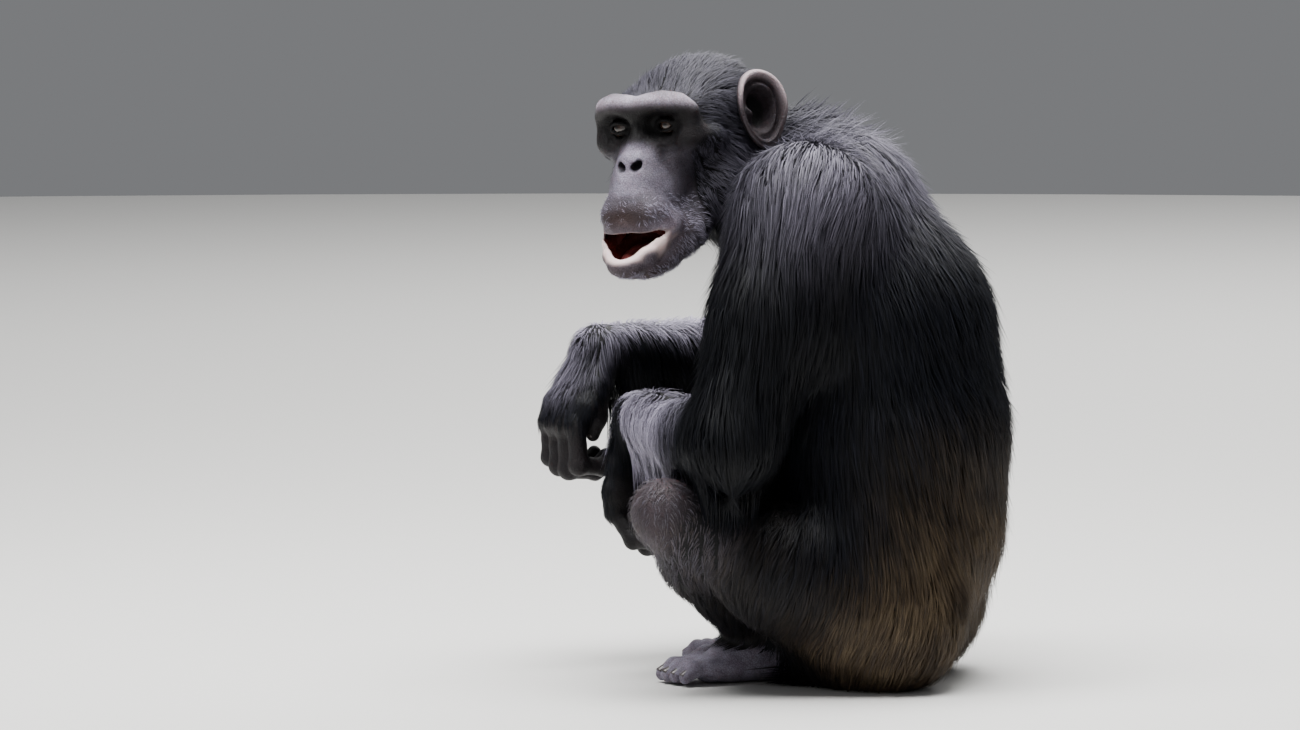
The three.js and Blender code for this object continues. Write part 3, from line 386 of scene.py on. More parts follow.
# A hand. down is the way the palm's bones run when it hangs, back the way its back faces, thumb
# the side of the thumb, and bends the angle of each finger bone from down towards the palm.
HAND_POSES = {
    "right": {"back": unit((0.72, -0.69, 0)), "thumb": unit((0.69, 0.72, 0)),
              "bends": (-30, 4, 84, 140), "spread": 0.0008, "ahead": 5, "drop": 15},
    "left": {"back": unit((-0.43, -0.9, 0)), "thumb": unit((-0.9, 0.43, 0)),
             "bends": (-4, 42, 90, 120), "spread": 0.0006, "ahead": 13, "drop": 27},
}
FINGERS = ((28, 0.94, 9.6), (9.5, 1.04, 10), (-9, 1, 9.6), (-27, 0.86, 8.6))
HAND_DOWN = arr(0, 0, -1)
PALM_LONG = 68


def hand_shape(name):
    """The hand's pieces, and for each fingertip its place, the way it points and its back."""
    side, pose = SIDES[name], HAND_POSES[name]
    back, thumb, bends = pose["back"], pose["thumb"], pose["bends"]
    arm = unit(np.subtract(side["wrist"], side["elbow"]))
    start = np.array(side["wrist"]) + arm * pose["ahead"] + HAND_DOWN * pose["drop"]

    def towards(angle):
        a = math.radians(angle)
        return HAND_DOWN * math.cos(a) - back * math.sin(a)
    end = start + towards(bends[0]) * PALM_LONG
    parts = bone_line([mix(start, end, t) for t in (0, 0.3, 0.7, 1)], (11.5, 14.3, 17, 16), 12, 12,
                      wide=thumb, by=2.17)
    parts.append(Bone(side["wrist"] - arm * 6, start + HAND_DOWN * 8, 23, 17, 14, 0, thumb, 1.25))
    tips = []
    for across, long, thick in FINGERS:
        line = [mix(start, end, 0.86) + thumb * across * 0.95 + back]
        radii = [r * thick for r in (0.9, 1.1, 0.93, 1.1, 0.86, 0.98, 0.74)]
        angles = (bends[0], bends[1], bends[1], bends[2], bends[2], bends[3])
        for step, angle in zip((12, 21, 21, 15, 15, 19), angles):
            way = towards(angle) + thumb * across * pose["spread"]
            line.append(line[-1] + way * step * long)
        parts += bone_line(line, radii, 6, 3)
        over = back * math.cos(math.radians(bends[3])) + HAND_DOWN * math.sin(math.radians(bends[3]))
        tips.append((line[-1] - unit(way) * 5, unit(way), unit(over), radii[-1]))
    root = mix(start, end, 0.3) + thumb * 20 - back * 2
    hangs = towards(bends[0] * 0.8)
    line = [root] + [root + hangs * far + thumb * out - back * under
                     for far, out, under in ((20, 8, 6), (40, 10, 11), (57, 6, 16))]
    parts += bone_line(line, (11.5, 10.5, 10, 7), 8, 3)
    way = unit(line[3] - line[2])
    tips.append((line[3] - way * 4, way, unit(back + thumb * 0.5), 6.5))
    return parts, tips, start, end


FOOT_POSES = {"left": (0.6, -0.8), "right": (-0.5, -0.86)}
TOES = ((21, 1.02, 8.6), (7, 1.06, 8.4), (-7, 0.98, 8), (-21, 0.86, 7.4))


def foot_shape(name):
    """The foot's pieces, and its toe tips as for the fingers."""
    x, y, z = SIDES[name]["ankle"]
    ahead = unit(FOOT_POSES[name] + (0,))
    inner = unit((-math.copysign(abs(ahead[1]), x), -abs(ahead[0]), 0))

    def at(forward, inward, height):
        return arr(x, y, 0) + ahead * forward + inner * inward + arr(0, 0, height)
    parts = [
        Bone((x, y, z), at(-22, 0, 20), 23, 20, 10),
        Bone((x, y, z), at(34, 0, 24), 22, 17, 14, 0, inner, 1.5),
        Bone(at(-18, 0, 17), at(58, -2, 15), 17, 14, 12, 0, inner, 2.1),
    ]
    tips = []
    for across, long, thick in TOES:
        line = [at(46, across, 15), at(68, across * 1.02, 17),
                at(68 + 15 * long, across * 1.04, 16), at(68 + 27 * long, across * 1.05, 9)]
        radii = [thick, thick, thick * 1.02, thick * 0.82]
        parts += bone_line(line, radii, 6, 3)
        way = unit(line[3] - line[2])
        tips.append((line[3] - way * 3, way, unit(np.cross(np.cross(way, (0, 0, 1)), way)), radii[3]))
    line = [at(8, 16, 16), at(28, 40, 15), at(46, 50, 14), at(58, 52, 10)]
    parts += bone_line(line, (14, 12, 10.5, 8), 8, 4)
    way = unit(line[3] - line[2])
    tips.append((line[3] - way * 3, way, arr(0, 0, 1), 8))
    return parts, tips, ahead


HANDS = {name: hand_shape(name) for name in SIDES}
FEET = {name: foot_shape(name) for name in SIDES}
FLOOR_CLEAR = 0.4

# Each region's own flesh, for telling them apart.
REGIONS = {"trunk": blended(TRUNK), "neck": blended(NECK), "head": face_field}
for _side in SIDES:
    for _kind, _parts in (("upper_arm", ARMS[_side][0]), ("forearm", ARMS[_side][1]),
                          ("thigh", LEGS[_side][0]), ("shin", LEGS[_side][1]),
                          ("hand", HANDS[_side][0]), ("foot", FEET[_side][0])):
        REGIONS[f"{_kind}_{_side}"] = blended(_parts)
REGION_NAMES = list(REGIONS)


def kind_and_side(region):
    """The kind of a region and its side: forearm and left, or head and no side."""
    kind, _, side = region.rpartition("_")
    return (kind, side) if kind else (region, None)


def own_distances(p):
    return np.array([REGIONS[name](p) for name in REGION_NAMES])


def limb(inner, outer, end_parts, end_blend):
    """An arm with its hand, or a leg with its foot."""
    whole, end = blended(inner + outer), blended(end_parts)
    return near_only(lambda p, share=0: soften(whole(p, share), end(p), end_blend),
                     inner + outer + end_parts)


# Each limb and the width of its joining with the trunk.
LIMBS = []
for _side in SIDES:
    LIMBS.append((limb(*ARMS[_side], HANDS[_side][0], 10), 40))
    LIMBS.append((limb(*LEGS[_side], FEET[_side][0], 12), 30))


def body_field(p, share=0):
    """Distance to the whole skin. share 1 gives the coat's tips instead."""
    trunk = trunk_only(p, share)
    d = soften(trunk, face_field(p, share), 16)
    for field, width in LIMBS:
        d = np.minimum(d, soften(trunk, field(p, share), width))
    return np.maximum(d, FLOOR_CLEAR - p[:, 2])


def face_detail(p):
    """The skin of the face, with lids, creases, mouth and nostrils."""
    d = body_field(p)
    for lines, width, depth in CREASE_LINES:
        near = np.min([line.distance(p) for line in lines], axis=0)
        d = d + depth * np.exp(-(near / width) ** 2)
    d = soften(d, np.min([lid.distance(p) for lid in LIDS], axis=0), LID_BLEND)
    return carve(-soften(-d, MOUTH(p), MOUTH_BLEND), p, NOSTRILS + EYE_BEDS)


FACE_ZONE = Bone(on_head((50, 0, -12)), on_head((67, 0, -70)), 92, 97)
ZONES = {"face": (FACE_ZONE, face_detail, "face_cell")}
for _side in SIDES:
    _start, _end = HANDS[_side][2:]
    ZONES["hand_" + _side] = (Bone(_start + (_start - _end) * 0.4, _end + (_end - _start) * 0.9, 52, 62),
                              body_field, "hand_cell")
    _foot = np.array(SIDES[_side]["ankle"])
    ZONES["foot_" + _side] = (Bone(_foot, _foot + FEET[_side][2] * 60 - arr(0, 0, 20), 56, 70),
                              body_field, "foot_cell")


def body_outside_zones(p):
    d = body_field(p)
    for zone, _, _ in ZONES.values():
        d = np.maximum(d, -(zone.distance(p) + 5))
    return d


# Surfaces from distances.
BLOCK = 8
# Half a block's diagonal with a margin, as a share of its side.
BLOCK_REACH = 1.125
CHUNK = 400_000


def grid_values(field, low, high, cell):
    """Distances on a grid. Far from the surface a block of cells takes its middle's distance."""
    n = (np.ceil((np.asarray(high) - low) / cell / BLOCK).astype(int)) * BLOCK
    axes = [low[i] + cell * np.arange(n[i]) for i in range(3)]
    middles = [a.reshape(-1, BLOCK).mean(1) for a in axes]
    spots = np.stack(np.meshgrid(*middles, indexing="ij"), -1)
    coarse = field(spots.reshape(-1, 3)).reshape(spots.shape[:3])
    values = coarse
    for axis in range(3):
        values = np.repeat(values, BLOCK, axis)
    near = np.argwhere(np.abs(coarse) < cell * BLOCK * BLOCK_REACH)
    inner = np.stack(np.meshgrid(*[np.arange(BLOCK)] * 3, indexing="ij"), -1).reshape(-1, 3)
    at = (near[:, None] * BLOCK + inner[None]).reshape(-1, 3)
    for k in range(0, len(at), CHUNK):
        some = at[k:k + CHUNK]
        values[tuple(some.T)] = field(some * cell + low)
    return values


def surface_of(field, low, high, cell):
    """Closed surface of a field, by surface nets: one point for each cell that it crosses."""
    low = np.asarray(low, float)
    values = grid_values(field, low, high, cell)
    inside = values < 0
    n = values.shape
    corners = [(i, j, k) for i in (0, 1) for j in (0, 1) for k in (0, 1)]
    view = {c: tuple(slice(o, s - 1 + o) for o, s in zip(c, n)) for c in corners}
    count = sum(inside[view[c]].astype(np.int8) for c in corners)
    active = np.argwhere((count > 0) & (count < 8))
    at = {c: values[tuple((active + c).T)] for c in corners}
    total, crossed = np.zeros((len(active), 3)), np.zeros(len(active))
    for c in corners:
        for axis in range(3):
            if c[axis]:
                continue
            e = tuple(v + (a == axis) for a, v in enumerate(c))
            cross = (at[c] < 0) != (at[e] < 0)
            t = np.where(cross, at[c] / np.where(cross, at[c] - at[e], 1), 0)
            total += np.where(cross[:, None], np.array(c) + t[:, None] * (np.array(e) - c), 0)
            crossed += cross
    points = low + (active + total / crossed[:, None]) * cell
    number = np.full(n, -1)
    number[tuple(active.T)] = np.arange(len(active))
    quads = []
    for axis in range(3):
        u, w = (axis + 1) % 3, (axis + 2) % 3
        step = np.eye(3, dtype=int)[axis]
        grid = [slice(1, -1)] * 3
        grid[axis] = slice(0, -1)
        first = inside[tuple(grid)]
        grid[axis] = slice(1, None)
        second = inside[tuple(grid)]
        base = np.argwhere(first != second) + 1 - step
        out = first[first != second]
        du, dw = np.eye(3, dtype=int)[u], np.eye(3, dtype=int)[w]
        ring = np.stack([number[tuple((base - o).T)] for o in (0 * du, du, du + dw, dw)], 1)
        ring[~out] = ring[~out][:, ::-1]
        quads.append(ring)
    quads = np.concatenate(quads)
    quads = quads[(quads >= 0).all(1)]
    for _ in range(2):
        points = points - slope(field, points) * field(points)[:, None]
    return points, quads


def slope(field, p, step=0.6):
    """The way out of a field, one long at most."""
    g = np.stack([field(p + d) - field(p - d) for d in np.eye(3) * step], 1) / (2 * step)
    return g / np.maximum(np.linalg.norm(g, axis=1, keepdims=True), 1)


def zone_box(zone, margin=6):
    reach = max(zone.ra, zone.rb) + margin
    return np.minimum(zone.a, zone.b) - reach, np.maximum(zone.a, zone.b) + reach


BODY_LOW, BODY_HIGH = arr(-300, -320, -20), arr(300, 260, 660)


def cell_size(name):
    return getattr(bpy.context.scene.chimp_skin, name) * 1000


@functools.cache
def skin_sheets():
    """Points and quads of the body's skin and of its finer places, by name."""
    sheets = {"body": surface_of(body_outside_zones, BODY_LOW, BODY_HIGH, cell_size("body_cell"))}
    for name, (zone, field, cell) in ZONES.items():
        inside = functools.partial(lambda p, f, z: np.maximum(f(p), z.distance(p)), f=field, z=zone)
        sheets[name] = surface_of(inside, *zone_box(zone), cell_size(cell))
    return sheets


COAT_DEEPEST = 26


class Volume:
    """Distances to the skin and to the coat's tips, kept on a grid for quick reading."""

    def __init__(self, cell):
        self.cell = cell
        self.bare = grid_values(body_field, BODY_LOW, BODY_HIGH, cell)
        self.full = grid_values(lambda p: body_field(p, 1), BODY_LOW, BODY_HIGH, cell)

    def read(self, values, p):
        q = (p - BODY_LOW) / self.cell
        q = np.clip(q, 0, np.array(values.shape) - 1.001)
        i = q.astype(int)
        t = q - i
        total = 0
        for corner in np.ndindex(2, 2, 2):
            weight = np.prod(np.where(corner, t, 1 - t), axis=1)
            total = total + weight * values[tuple((i + corner).T)]
        return total

    def height(self, p):
        return self.read(self.bare, p)

    def depth(self, p):
        return np.clip(self.height(p) - self.read(self.full, p), 0, COAT_DEEPEST)

    def out(self, p):
        return unit(np.stack([self.height(p + d) - self.height(p - d) for d in np.eye(3) * 3], 1))


@functools.cache
def body_volume():
    return Volume(5)


# Meshes.
def joined(sheets):
    """Several sheets of points and quads as one."""
    starts = np.cumsum([0] + [len(points) for points, _ in sheets])
    return (np.concatenate([points for points, _ in sheets]),
            np.concatenate([quads + start for (_, quads), start in zip(sheets, starts)]))


def tube_quads(rings, around):
    """Quads between closed rings of points, one ring after another."""
    k = np.arange(around)
    after = (k + 1) % around
    return np.concatenate([np.stack([i * around + k, i * around + after, (i + 1) * around + after,
                                     (i + 1) * around + k], 1) for i in range(rings - 1)])


def mesh_piece(name, points, faces, material, masks=None):
    """An object from points in the animal's frame and a list of equal-sided face arrays."""
    mesh = bpy.data.meshes.new(name)
    placed = ((points + SHIFT) * 0.001).astype(np.float32)
    sizes = np.concatenate([np.full(len(f), f.shape[1]) for f in faces]).astype(np.int32)
    loops = np.concatenate([f.ravel() for f in faces]).astype(np.int32)
    mesh.vertices.add(len(placed))
    mesh.vertices.foreach_set("co", placed.ravel())
    mesh.loops.add(len(loops))
    mesh.loops.foreach_set("vertex_index", loops)
    mesh.polygons.add(len(sizes))
    mesh.polygons.foreach_set("loop_start", np.concatenate([[0], np.cumsum(sizes)[:-1]]).astype(np.int32))
    mesh.polygons.foreach_set("loop_total", sizes)
    mesh.polygons.foreach_set("use_smooth", np.ones(len(sizes), bool))
    for key, values in (masks or {}).items():
        layer = mesh.attributes.new(key, "FLOAT", "POINT")
        layer.data.foreach_set("value", np.asarray(values, np.float32))
    mesh.update(calc_edges=True)
    mesh.validate()
    made = bpy.data.objects.new(name, mesh)
    bpy.context.scene.collection.objects.link(made)
    made.data.materials.append(material)
    return made


# Ears: a cupped dish with a rolled rim, an inner ridge and a small flap in front of the canal.
EAR_ROUND, EAR_PROFILE, EAR_LEAN = 72, 40, 8
EAR_BACK = [(2, -17.5), (12, -17), (24, -10), (34, -2.5), (39.5, 2), (41, 6)]
EAR_FRONT = [(39.5, 10), (35.5, 10.5), (32, 6.5), (31, 3), (27.5, 3.5), (24, 4.5), (20, 1), (17, -5),
             (12, -9), (6, -10.5), (0.5, -11)]


def smooth_line(points, per):
    """Points along a smooth curve through the given ones, per for each stretch."""
    p = np.array(points, float)
    padded = np.vstack([2 * p[0] - p[1], p, 2 * p[-1] - p[-2]])
    t = np.linspace(0, 1, per, endpoint=False)[:, None]
    out = []
    for a, b, c, d in zip(padded, padded[1:], padded[2:], padded[3:]):
        out.append(0.5 * (2 * b + (c - a) * t + (2 * a - 5 * b + 4 * c - d) * t ** 2
                          + (3 * b - a - 3 * c + d) * t ** 3))
    return np.vstack(out + [p[-1:]])


def ear_sheet(side):
    """Points and quads, how far into the cup each point lies, for the cup's painted shade, and the painted
    highlight on the top of the rim.
    """
    line = smooth_line(EAR_BACK + EAR_FRONT, 4)
    rings = len(line)
    turn = np.linspace(0, 2 * np.pi, EAR_ROUND, endpoint=False)
    r, z = line[:, 0][:, None], line[:, 1][:, None]
    backward, up = np.cos(turn)[None], np.sin(turn)[None]
    x, y = r * backward, r * up
    s = (np.arange(rings) / (rings - 1))[:, None]
    back_end = (len(EAR_BACK) - 1) / (len(EAR_BACK) + len(EAR_FRONT) - 1)
    front = ramp(s, back_end - 0.03, back_end + 0.05)
    # The rim rolls over more towards the top and the back.
    rim = np.exp(-((r - 38) / 4.5) ** 2)
    roll = 0.25 + 0.75 * ramp(up + 0.35 * backward, -0.55, 0.35)
    z = z - (1 - roll) * rim * front * 5.5 + (roll - 0.6) * rim * 4
    # The inner ridge, the flap before the canal, the lobe and the fork of the ridge.
    ridge = np.exp(-((r - 24.5) / 4.2) ** 2) * front
    z = z + ridge * (2.6 * ramp(backward + 0.5 * up, -0.1, 0.8) - 4.2 * ramp(-backward, 0.1, 0.8))
    flap = np.exp(-((r - 17) / 6) ** 2 - ((up + 0.12) / 0.34) ** 2) * ramp(-backward, 0.3, 0.9)
    z = z + flap * front * 11
    lobe = np.exp(-((up + 0.95) / 0.3) ** 2) * ramp(r, 18, 34)
    z = z + lobe * front * 2.5
    fork = np.exp(-(((x - 8) * 0.55 + (y - 26) * 0.5) / 5) ** 2) * ramp(up, 0.3, 0.8)
    z = z + fork * front * ramp(r, 34, 24) * 4
    z = z + x * x * 0.004
    # The profile's radius of 40 is drawn out to the ear's width and height.
    broad = EAR_WIDTH / EAR_PROFILE * (1 + y / 240)
    local = np.stack([x * broad, y * EAR_HEIGHT / EAR_PROFILE, z], -1).reshape(-1, 3)
    outward = unit((0.42, 0.9 * side, 0))
    across = np.cross((0, 0, 1), outward)
    local = local * (side, 1, 1) @ np.array([across, (0, 0, 1), outward])
    a = math.radians(side * EAR_LEAN)
    lean = np.array([(1, 0, 0), (0, math.cos(a), math.sin(a)), (0, -math.sin(a), math.cos(a))])
    points = on_head(local @ lean + EARS_AT[side])
    quads = tube_quads(rings, EAR_ROUND)
    if side > 0:
        quads = quads[:, ::-1]
    # The cup is given painted shade, more the further in.
    deep = ramp(-z, 0, 9) * front
    # A painted highlight on the top of the rim, where light from above catches it.
    rim_highlight = rim * front * roll * (0.25 + 0.75 * ramp(up, -0.2, 0.6))
    return points, quads, deep.ravel(), rim_highlight.ravel()


# Markings. Each is a share from 0 to 1 that a material reads at every point.
# Some are painted light: the shadowed mark is painted shade, the light-coloured one holds painted
# highlights too, and the coat's grey one holds painted sheen.
SKIN_MARKS = ("bare", "pale", "pink", "mouth", "deep", "ruddy")
COAT_MARKS = ("shade", "brown", "silver")


def head_marks(p):
    """How bare, light-coloured, pink and ruddy the skin of the head is at each point, with painted
    highlights on the brow and nose and painted shade in the eye sockets and nostrils.
    """
    f, l, u = to_head(p).T
    wide = np.abs(l)
    bare = hairless(p)
    # A painted highlight along the brow's top edge, where light from above catches it.
    brow = np.exp(-((u - 45 + 0.10 * np.maximum(wide - 22, 0)) / 6.5) ** 2) * ramp(f, 54, 66)
    # The nose's band is partly its own lighter skin and partly a painted highlight.
    nose = np.exp(-(wide / 22) ** 2) * ramp(u, -52, -40) * ramp(u, 8, -6) * ramp(f, 86, 96)
    lip_side = np.exp(-((u + 60) / 26) ** 2) * ramp(f, 74, 96) * 0.55
    mouth = MOUTH(p)
    around = ramp(mouth, 16, 4) * ramp(f, 70, 88)
    cheek = ramp(f, 48, 66) * ramp(u, 0, -14) * ramp(wide, 18, 34)
    # Light skin round the mouth and on the cheeks is its own colour; on the brow and nose it is painted
    # highlight.
    pale = np.clip(brow + nose + lip_side * 0.5 + around * 0.4 + cheek * 0.2, 0, 1)
    upper_lip = np.exp(-((u + 68) / 11) ** 2 - (wide / 32) ** 2) * ramp(f, 92, 106)
    pale = pale * (1 - 0.95 * upper_lip)
    rim = ramp(mouth, 8.5, 4.5) * ramp(u, -84, -94) * (0.3 + 0.7 * ramp(f, 100, 116))
    rim = rim + 0.35 * ramp(mouth, 3.0, 1.0) * ramp(u, -94, -84)
    inner = ramp(mouth, 1.2, 0.2) * ramp(f, 132, 122)
    # Painted shade in the eye sockets, under the brow's overhang.
    deep = np.exp(-((u - 19) / 16) ** 4 - (np.maximum(wide - 16, 0) / 42) ** 4) * ramp(f, 54, 64)
    # The upper lip gets a little of the same dark, for its darker band.
    deep = np.maximum(deep, 0.2 * upper_lip)
    # Painted shade inside the nostrils.
    for nostril in NOSTRILS:
        deep = np.maximum(deep, ramp(nostril.distance(p), 1.2, -0.5))
    # A little lip colour on the brow adds to its painted highlight.
    return {"bare": bare, "pale": pale * (1 - rim), "pink": rim + 0.08 * brow, "mouth": inner, "deep": deep,
            "ruddy": np.clip(0.2 * ramp(f, 60, 90) * ramp(u, -50, -80) + 0.2 * upper_lip, 0, 1)}


def hairless(p):
    """1 on the bare face, 0 where the head's coat grows."""
    f, l, u = to_head(p).T
    wide = np.abs(l)
    cheek = ramp(wide, 40, 50) * ramp(u, 10, -4) * ramp(u, -66, -44)
    line = 54 + 14 * ramp(u, 30, 46) + 8 * ramp(u, -60, -90) + 18 * cheek
    return ramp(f + wide * 0.06, line - 3, line + 5)


def bearded(p):
    """How thickly the short white hair round the lips grows."""
    f, l, u = to_head(p).T
    near = MOUTH(p)
    front = np.exp(-(l / 24) ** 2 - ((u + 68) / 14) ** 2)
    return ramp(near, 8, 13) * ramp(near, 46, 22) * ramp(u, -42, -64) * (1 - front) * ramp(f, 40, 56)


def palm_place(side, p):
    """How far along the palm points lie, 0 at the wrist and 1 at the knuckles, and how far over it."""
    start, end = HANDS[side][2:]
    bend = math.radians(HAND_POSES[side]["bends"][0])
    over = HAND_POSES[side]["back"] * math.cos(bend) + HAND_DOWN * math.sin(bend)
    return (p - start) @ (end - start) / ((end - start) @ (end - start)), (p - start) @ over


def skin_marks(name, p):
    """The same marks for each sheet of the skin."""
    if name == "face":
        return head_marks(p)
    marks = {key: np.zeros(len(p)) for key in SKIN_MARKS}
    if name.startswith("hand"):
        along, over = palm_place(kind_and_side(name)[1], p)
        marks["bare"] = np.maximum(ramp(along, 0.95, 1.15), ramp(over, 0, -8) * ramp(along, 0.1, 0.3))
        # Painted shade on the hands: the left, which hangs in shadow, gets more than the right.
        marks["deep"] += 0.6 if name.endswith("left") else 0.2
    if name.startswith("foot"):
        marks["bare"] = ramp(p[:, 2], 46, 30)
        marks["pale"] = 0.85 * ramp(p[:, 2], 50, 30)
    if name == "body":
        for side in SIDES.values():
            knee = ramp(away(p, np.subtract(side["knee"], (0, 16, -4))), 62, 36)
            for key, share in (("bare", 0.6), ("pale", 0.3), ("ruddy", 0.3)):
                marks[key] = np.maximum(marks[key], share * knee)
    return marks


# Materials.
def srgb(code):
    """A hex colour as linear red, green and blue."""
    parts = (int(code[i:i + 2], 16) / 255 for i in (1, 3, 5))
    return tuple(c / 12.92 if c <= 0.04045 else ((c + 0.055) / 1.055) ** 2.4 for c in parts)


def add(tree, kind, settings=None, inputs=None):
    """Adds a node. Its inputs are given as plain values or as the sockets that feed them."""
    made = tree.nodes.new(kind)
    for key, value in (settings or {}).items():
        setattr(made, key, value)
    for key, value in (inputs or {}).items():
        socket = made.inputs[key]
        if isinstance(value, bpy.types.NodeSocket):
            tree.links.new(value, socket)
        else:
            socket.default_value = (*value, 1) if socket.type == "RGBA" else value
    return made


def new_material(name, nodes, settings):
    """A new material. nodes builds it from the object's own coordinates and gives its shader."""
    made = bpy.data.materials.new(name)
    made.use_nodes = True
    made.node_tree.nodes.clear()
    place = add(made.node_tree, "ShaderNodeTexCoord").outputs["Object"]
    shader = nodes(made.node_tree, place, settings)
    add(made.node_tree, "ShaderNodeOutputMaterial", {}, {"Surface": shader.outputs[0]})
    return made


# A colour mix takes its factor and its two colours on these inputs.
FACTOR, UNDER, OVER = 0, 6, 7
COLOURS = {"data_type": "RGBA"}


def skin_nodes(tree, place, settings):
    """Living skin of a chimpanzee: pebbled and creased, dry on the face, wet in the mouth."""
    marks = {name: add(tree, "ShaderNodeAttribute", {"attribute_name": name}).outputs["Fac"]
             for name in SKIN_MARKS}
    # Blotches of pigment, about 12 mm across.
    blotch = add(tree, "ShaderNodeTexNoise", {}, {"Vector": place, "Scale": 80, "Detail": 4}).outputs[0]
    # Skin plates between fine lines, about 2.4 mm across. The real ones are about 1 mm.
    plates = add(tree, "ShaderNodeTexVoronoi", {"feature": "DISTANCE_TO_EDGE"},
                 {"Vector": place, "Scale": 420}).outputs["Distance"]
    # Creases, about 5 mm apart.
    folds = add(tree, "ShaderNodeTexNoise", {}, {
        "Vector": place, "Scale": 190, "Detail": 6, "Roughness": 0.62, "Distortion": 0.8}).outputs[0]
    tones = []
    for low, high, first, second in ((0.35, 0.7, settings.dark, settings.warm_dark),
                                     (0.3, 0.65, settings.pale, settings.lilac)):
        share = add(tree, "ShaderNodeMapRange", {}, {0: blotch, 1: low, 2: high}).outputs[0]
        tones.append(add(tree, "ShaderNodeMix", COLOURS, {
            FACTOR: share, UNDER: first, OVER: second}).outputs[2])
    lines = add(tree, "ShaderNodeMapRange", {}, {0: plates, 2: 0.12, 3: 0.55, 4: 0}).outputs[0]
    colour = tones[0]
    # The light-coloured tone also lays painted highlights on the brow, nose and ear rims, and the shadowed
    # colour lays painted shade in the eye sockets, nostrils, ear cups and on the hands.
    for factor, over in ((marks["pale"], tones[1]), (marks["ruddy"], settings.ruddy),
                         (lines, settings.dark), (marks["deep"], settings.deep),
                         (marks["pink"], settings.lip), (marks["mouth"], settings.mouth)):
        colour = add(tree, "ShaderNodeMix", COLOURS, {
            FACTOR: factor, UNDER: colour, OVER: over}).outputs[2]
    colour = add(tree, "ShaderNodeMix", COLOURS, {
        FACTOR: marks["bare"], UNDER: settings.under_coat, OVER: colour}).outputs[2]
    wet = add(tree, "ShaderNodeMath", {"operation": "MAXIMUM"}, {0: marks["pink"], 1: marks["mouth"]})
    dry = add(tree, "ShaderNodeMapRange", {}, {0: wet.outputs[0], 3: 0.52, 4: 0.28})
    uneven = add(tree, "ShaderNodeMapRange", {}, {0: blotch, 1: 0.3, 2: 0.7, 3: -0.05, 4: 0.07})
    rough = add(tree, "ShaderNodeMath", {"operation": "ADD"}, {0: dry.outputs[0], 1: uneven.outputs[0]})
    relief = add(tree, "ShaderNodeMapRange", {}, {0: plates, 2: 0.2})
    fine = add(tree, "ShaderNodeBump", {}, {
        "Strength": 0.5, "Distance": 0.0005, "Height": relief.outputs[0]})
    coarse = add(tree, "ShaderNodeBump", {}, {
        "Strength": 0.75, "Distance": 0.0014, "Height": folds, "Normal": fine.outputs[0]})
    return add(tree, "ShaderNodeBsdfPrincipled", {}, {
        "Base Color": colour, "Roughness": rough.outputs[0], "Normal": coarse.outputs[0], "IOR": 1.42,
        "Specular IOR Level": 0.24, "Subsurface Weight": 0.06, "Subsurface Scale": 0.004})


def coat_nodes(tree, place, settings):
    """Coarse straight guard hair, black with a cool shine, browner in places, greyer low on the cheeks and
    white round the lips, with painted sheen where light catches the shoulders, forearms, right hand and
    crown.
    """
    marks = {name: add(tree, "ShaderNodeAttribute", {"attribute_name": name}).outputs["Fac"]
             for name in COAT_MARKS}
    # Patches of faded hair, about 45 mm across.
    patch = add(tree, "ShaderNodeTexNoise", {}, {"Vector": place, "Scale": 22, "Detail": 3}).outputs[0]
    # Single hairs inside a tuft, drawn about 1 mm wide so that they show. Real ones are 0.1 mm.
    strands = add(tree, "ShaderNodeTexNoise", {}, {"Vector": place, "Scale": 900, "Detail": 2}).outputs[0]
    faded = add(tree, "ShaderNodeMapRange", {}, {0: patch, 1: 0.35, 2: 0.65}).outputs[0]
    gaps = add(tree, "ShaderNodeMapRange", {}, {0: strands, 1: 0.35, 2: 0.7, 3: 0.3, 4: 0}).outputs[0]
    brown = add(tree, "ShaderNodeMix", COLOURS, {
        FACTOR: faded, UNDER: settings.brown, OVER: settings.tan}).outputs[2]
    colour = settings.black
    # One mark lays painted sheen where light catches the coat, and the grey and white of the cheeks and
    # lips.
    for factor, over in ((marks["shade"], settings.cool), (marks["brown"], brown),
                         (marks["silver"], settings.silver), (gaps, settings.black)):
        colour = add(tree, "ShaderNodeMix", COLOURS, {
            FACTOR: factor, UNDER: colour, OVER: over}).outputs[2]
    rough = add(tree, "ShaderNodeMapRange", {}, {0: strands, 1: 0.3, 2: 0.7, 3: 0.45, 4: 0.6})
    bump = add(tree, "ShaderNodeBump", {}, {"Strength": 0.35, "Distance": 0.0004, "Height": strands})
    return add(tree, "ShaderNodeBsdfPrincipled", {}, {
        "Base Color": colour, "Roughness": rough.outputs[0], "Normal": bump.outputs[0], "IOR": 1.5,
        "Specular IOR Level": 0.15})


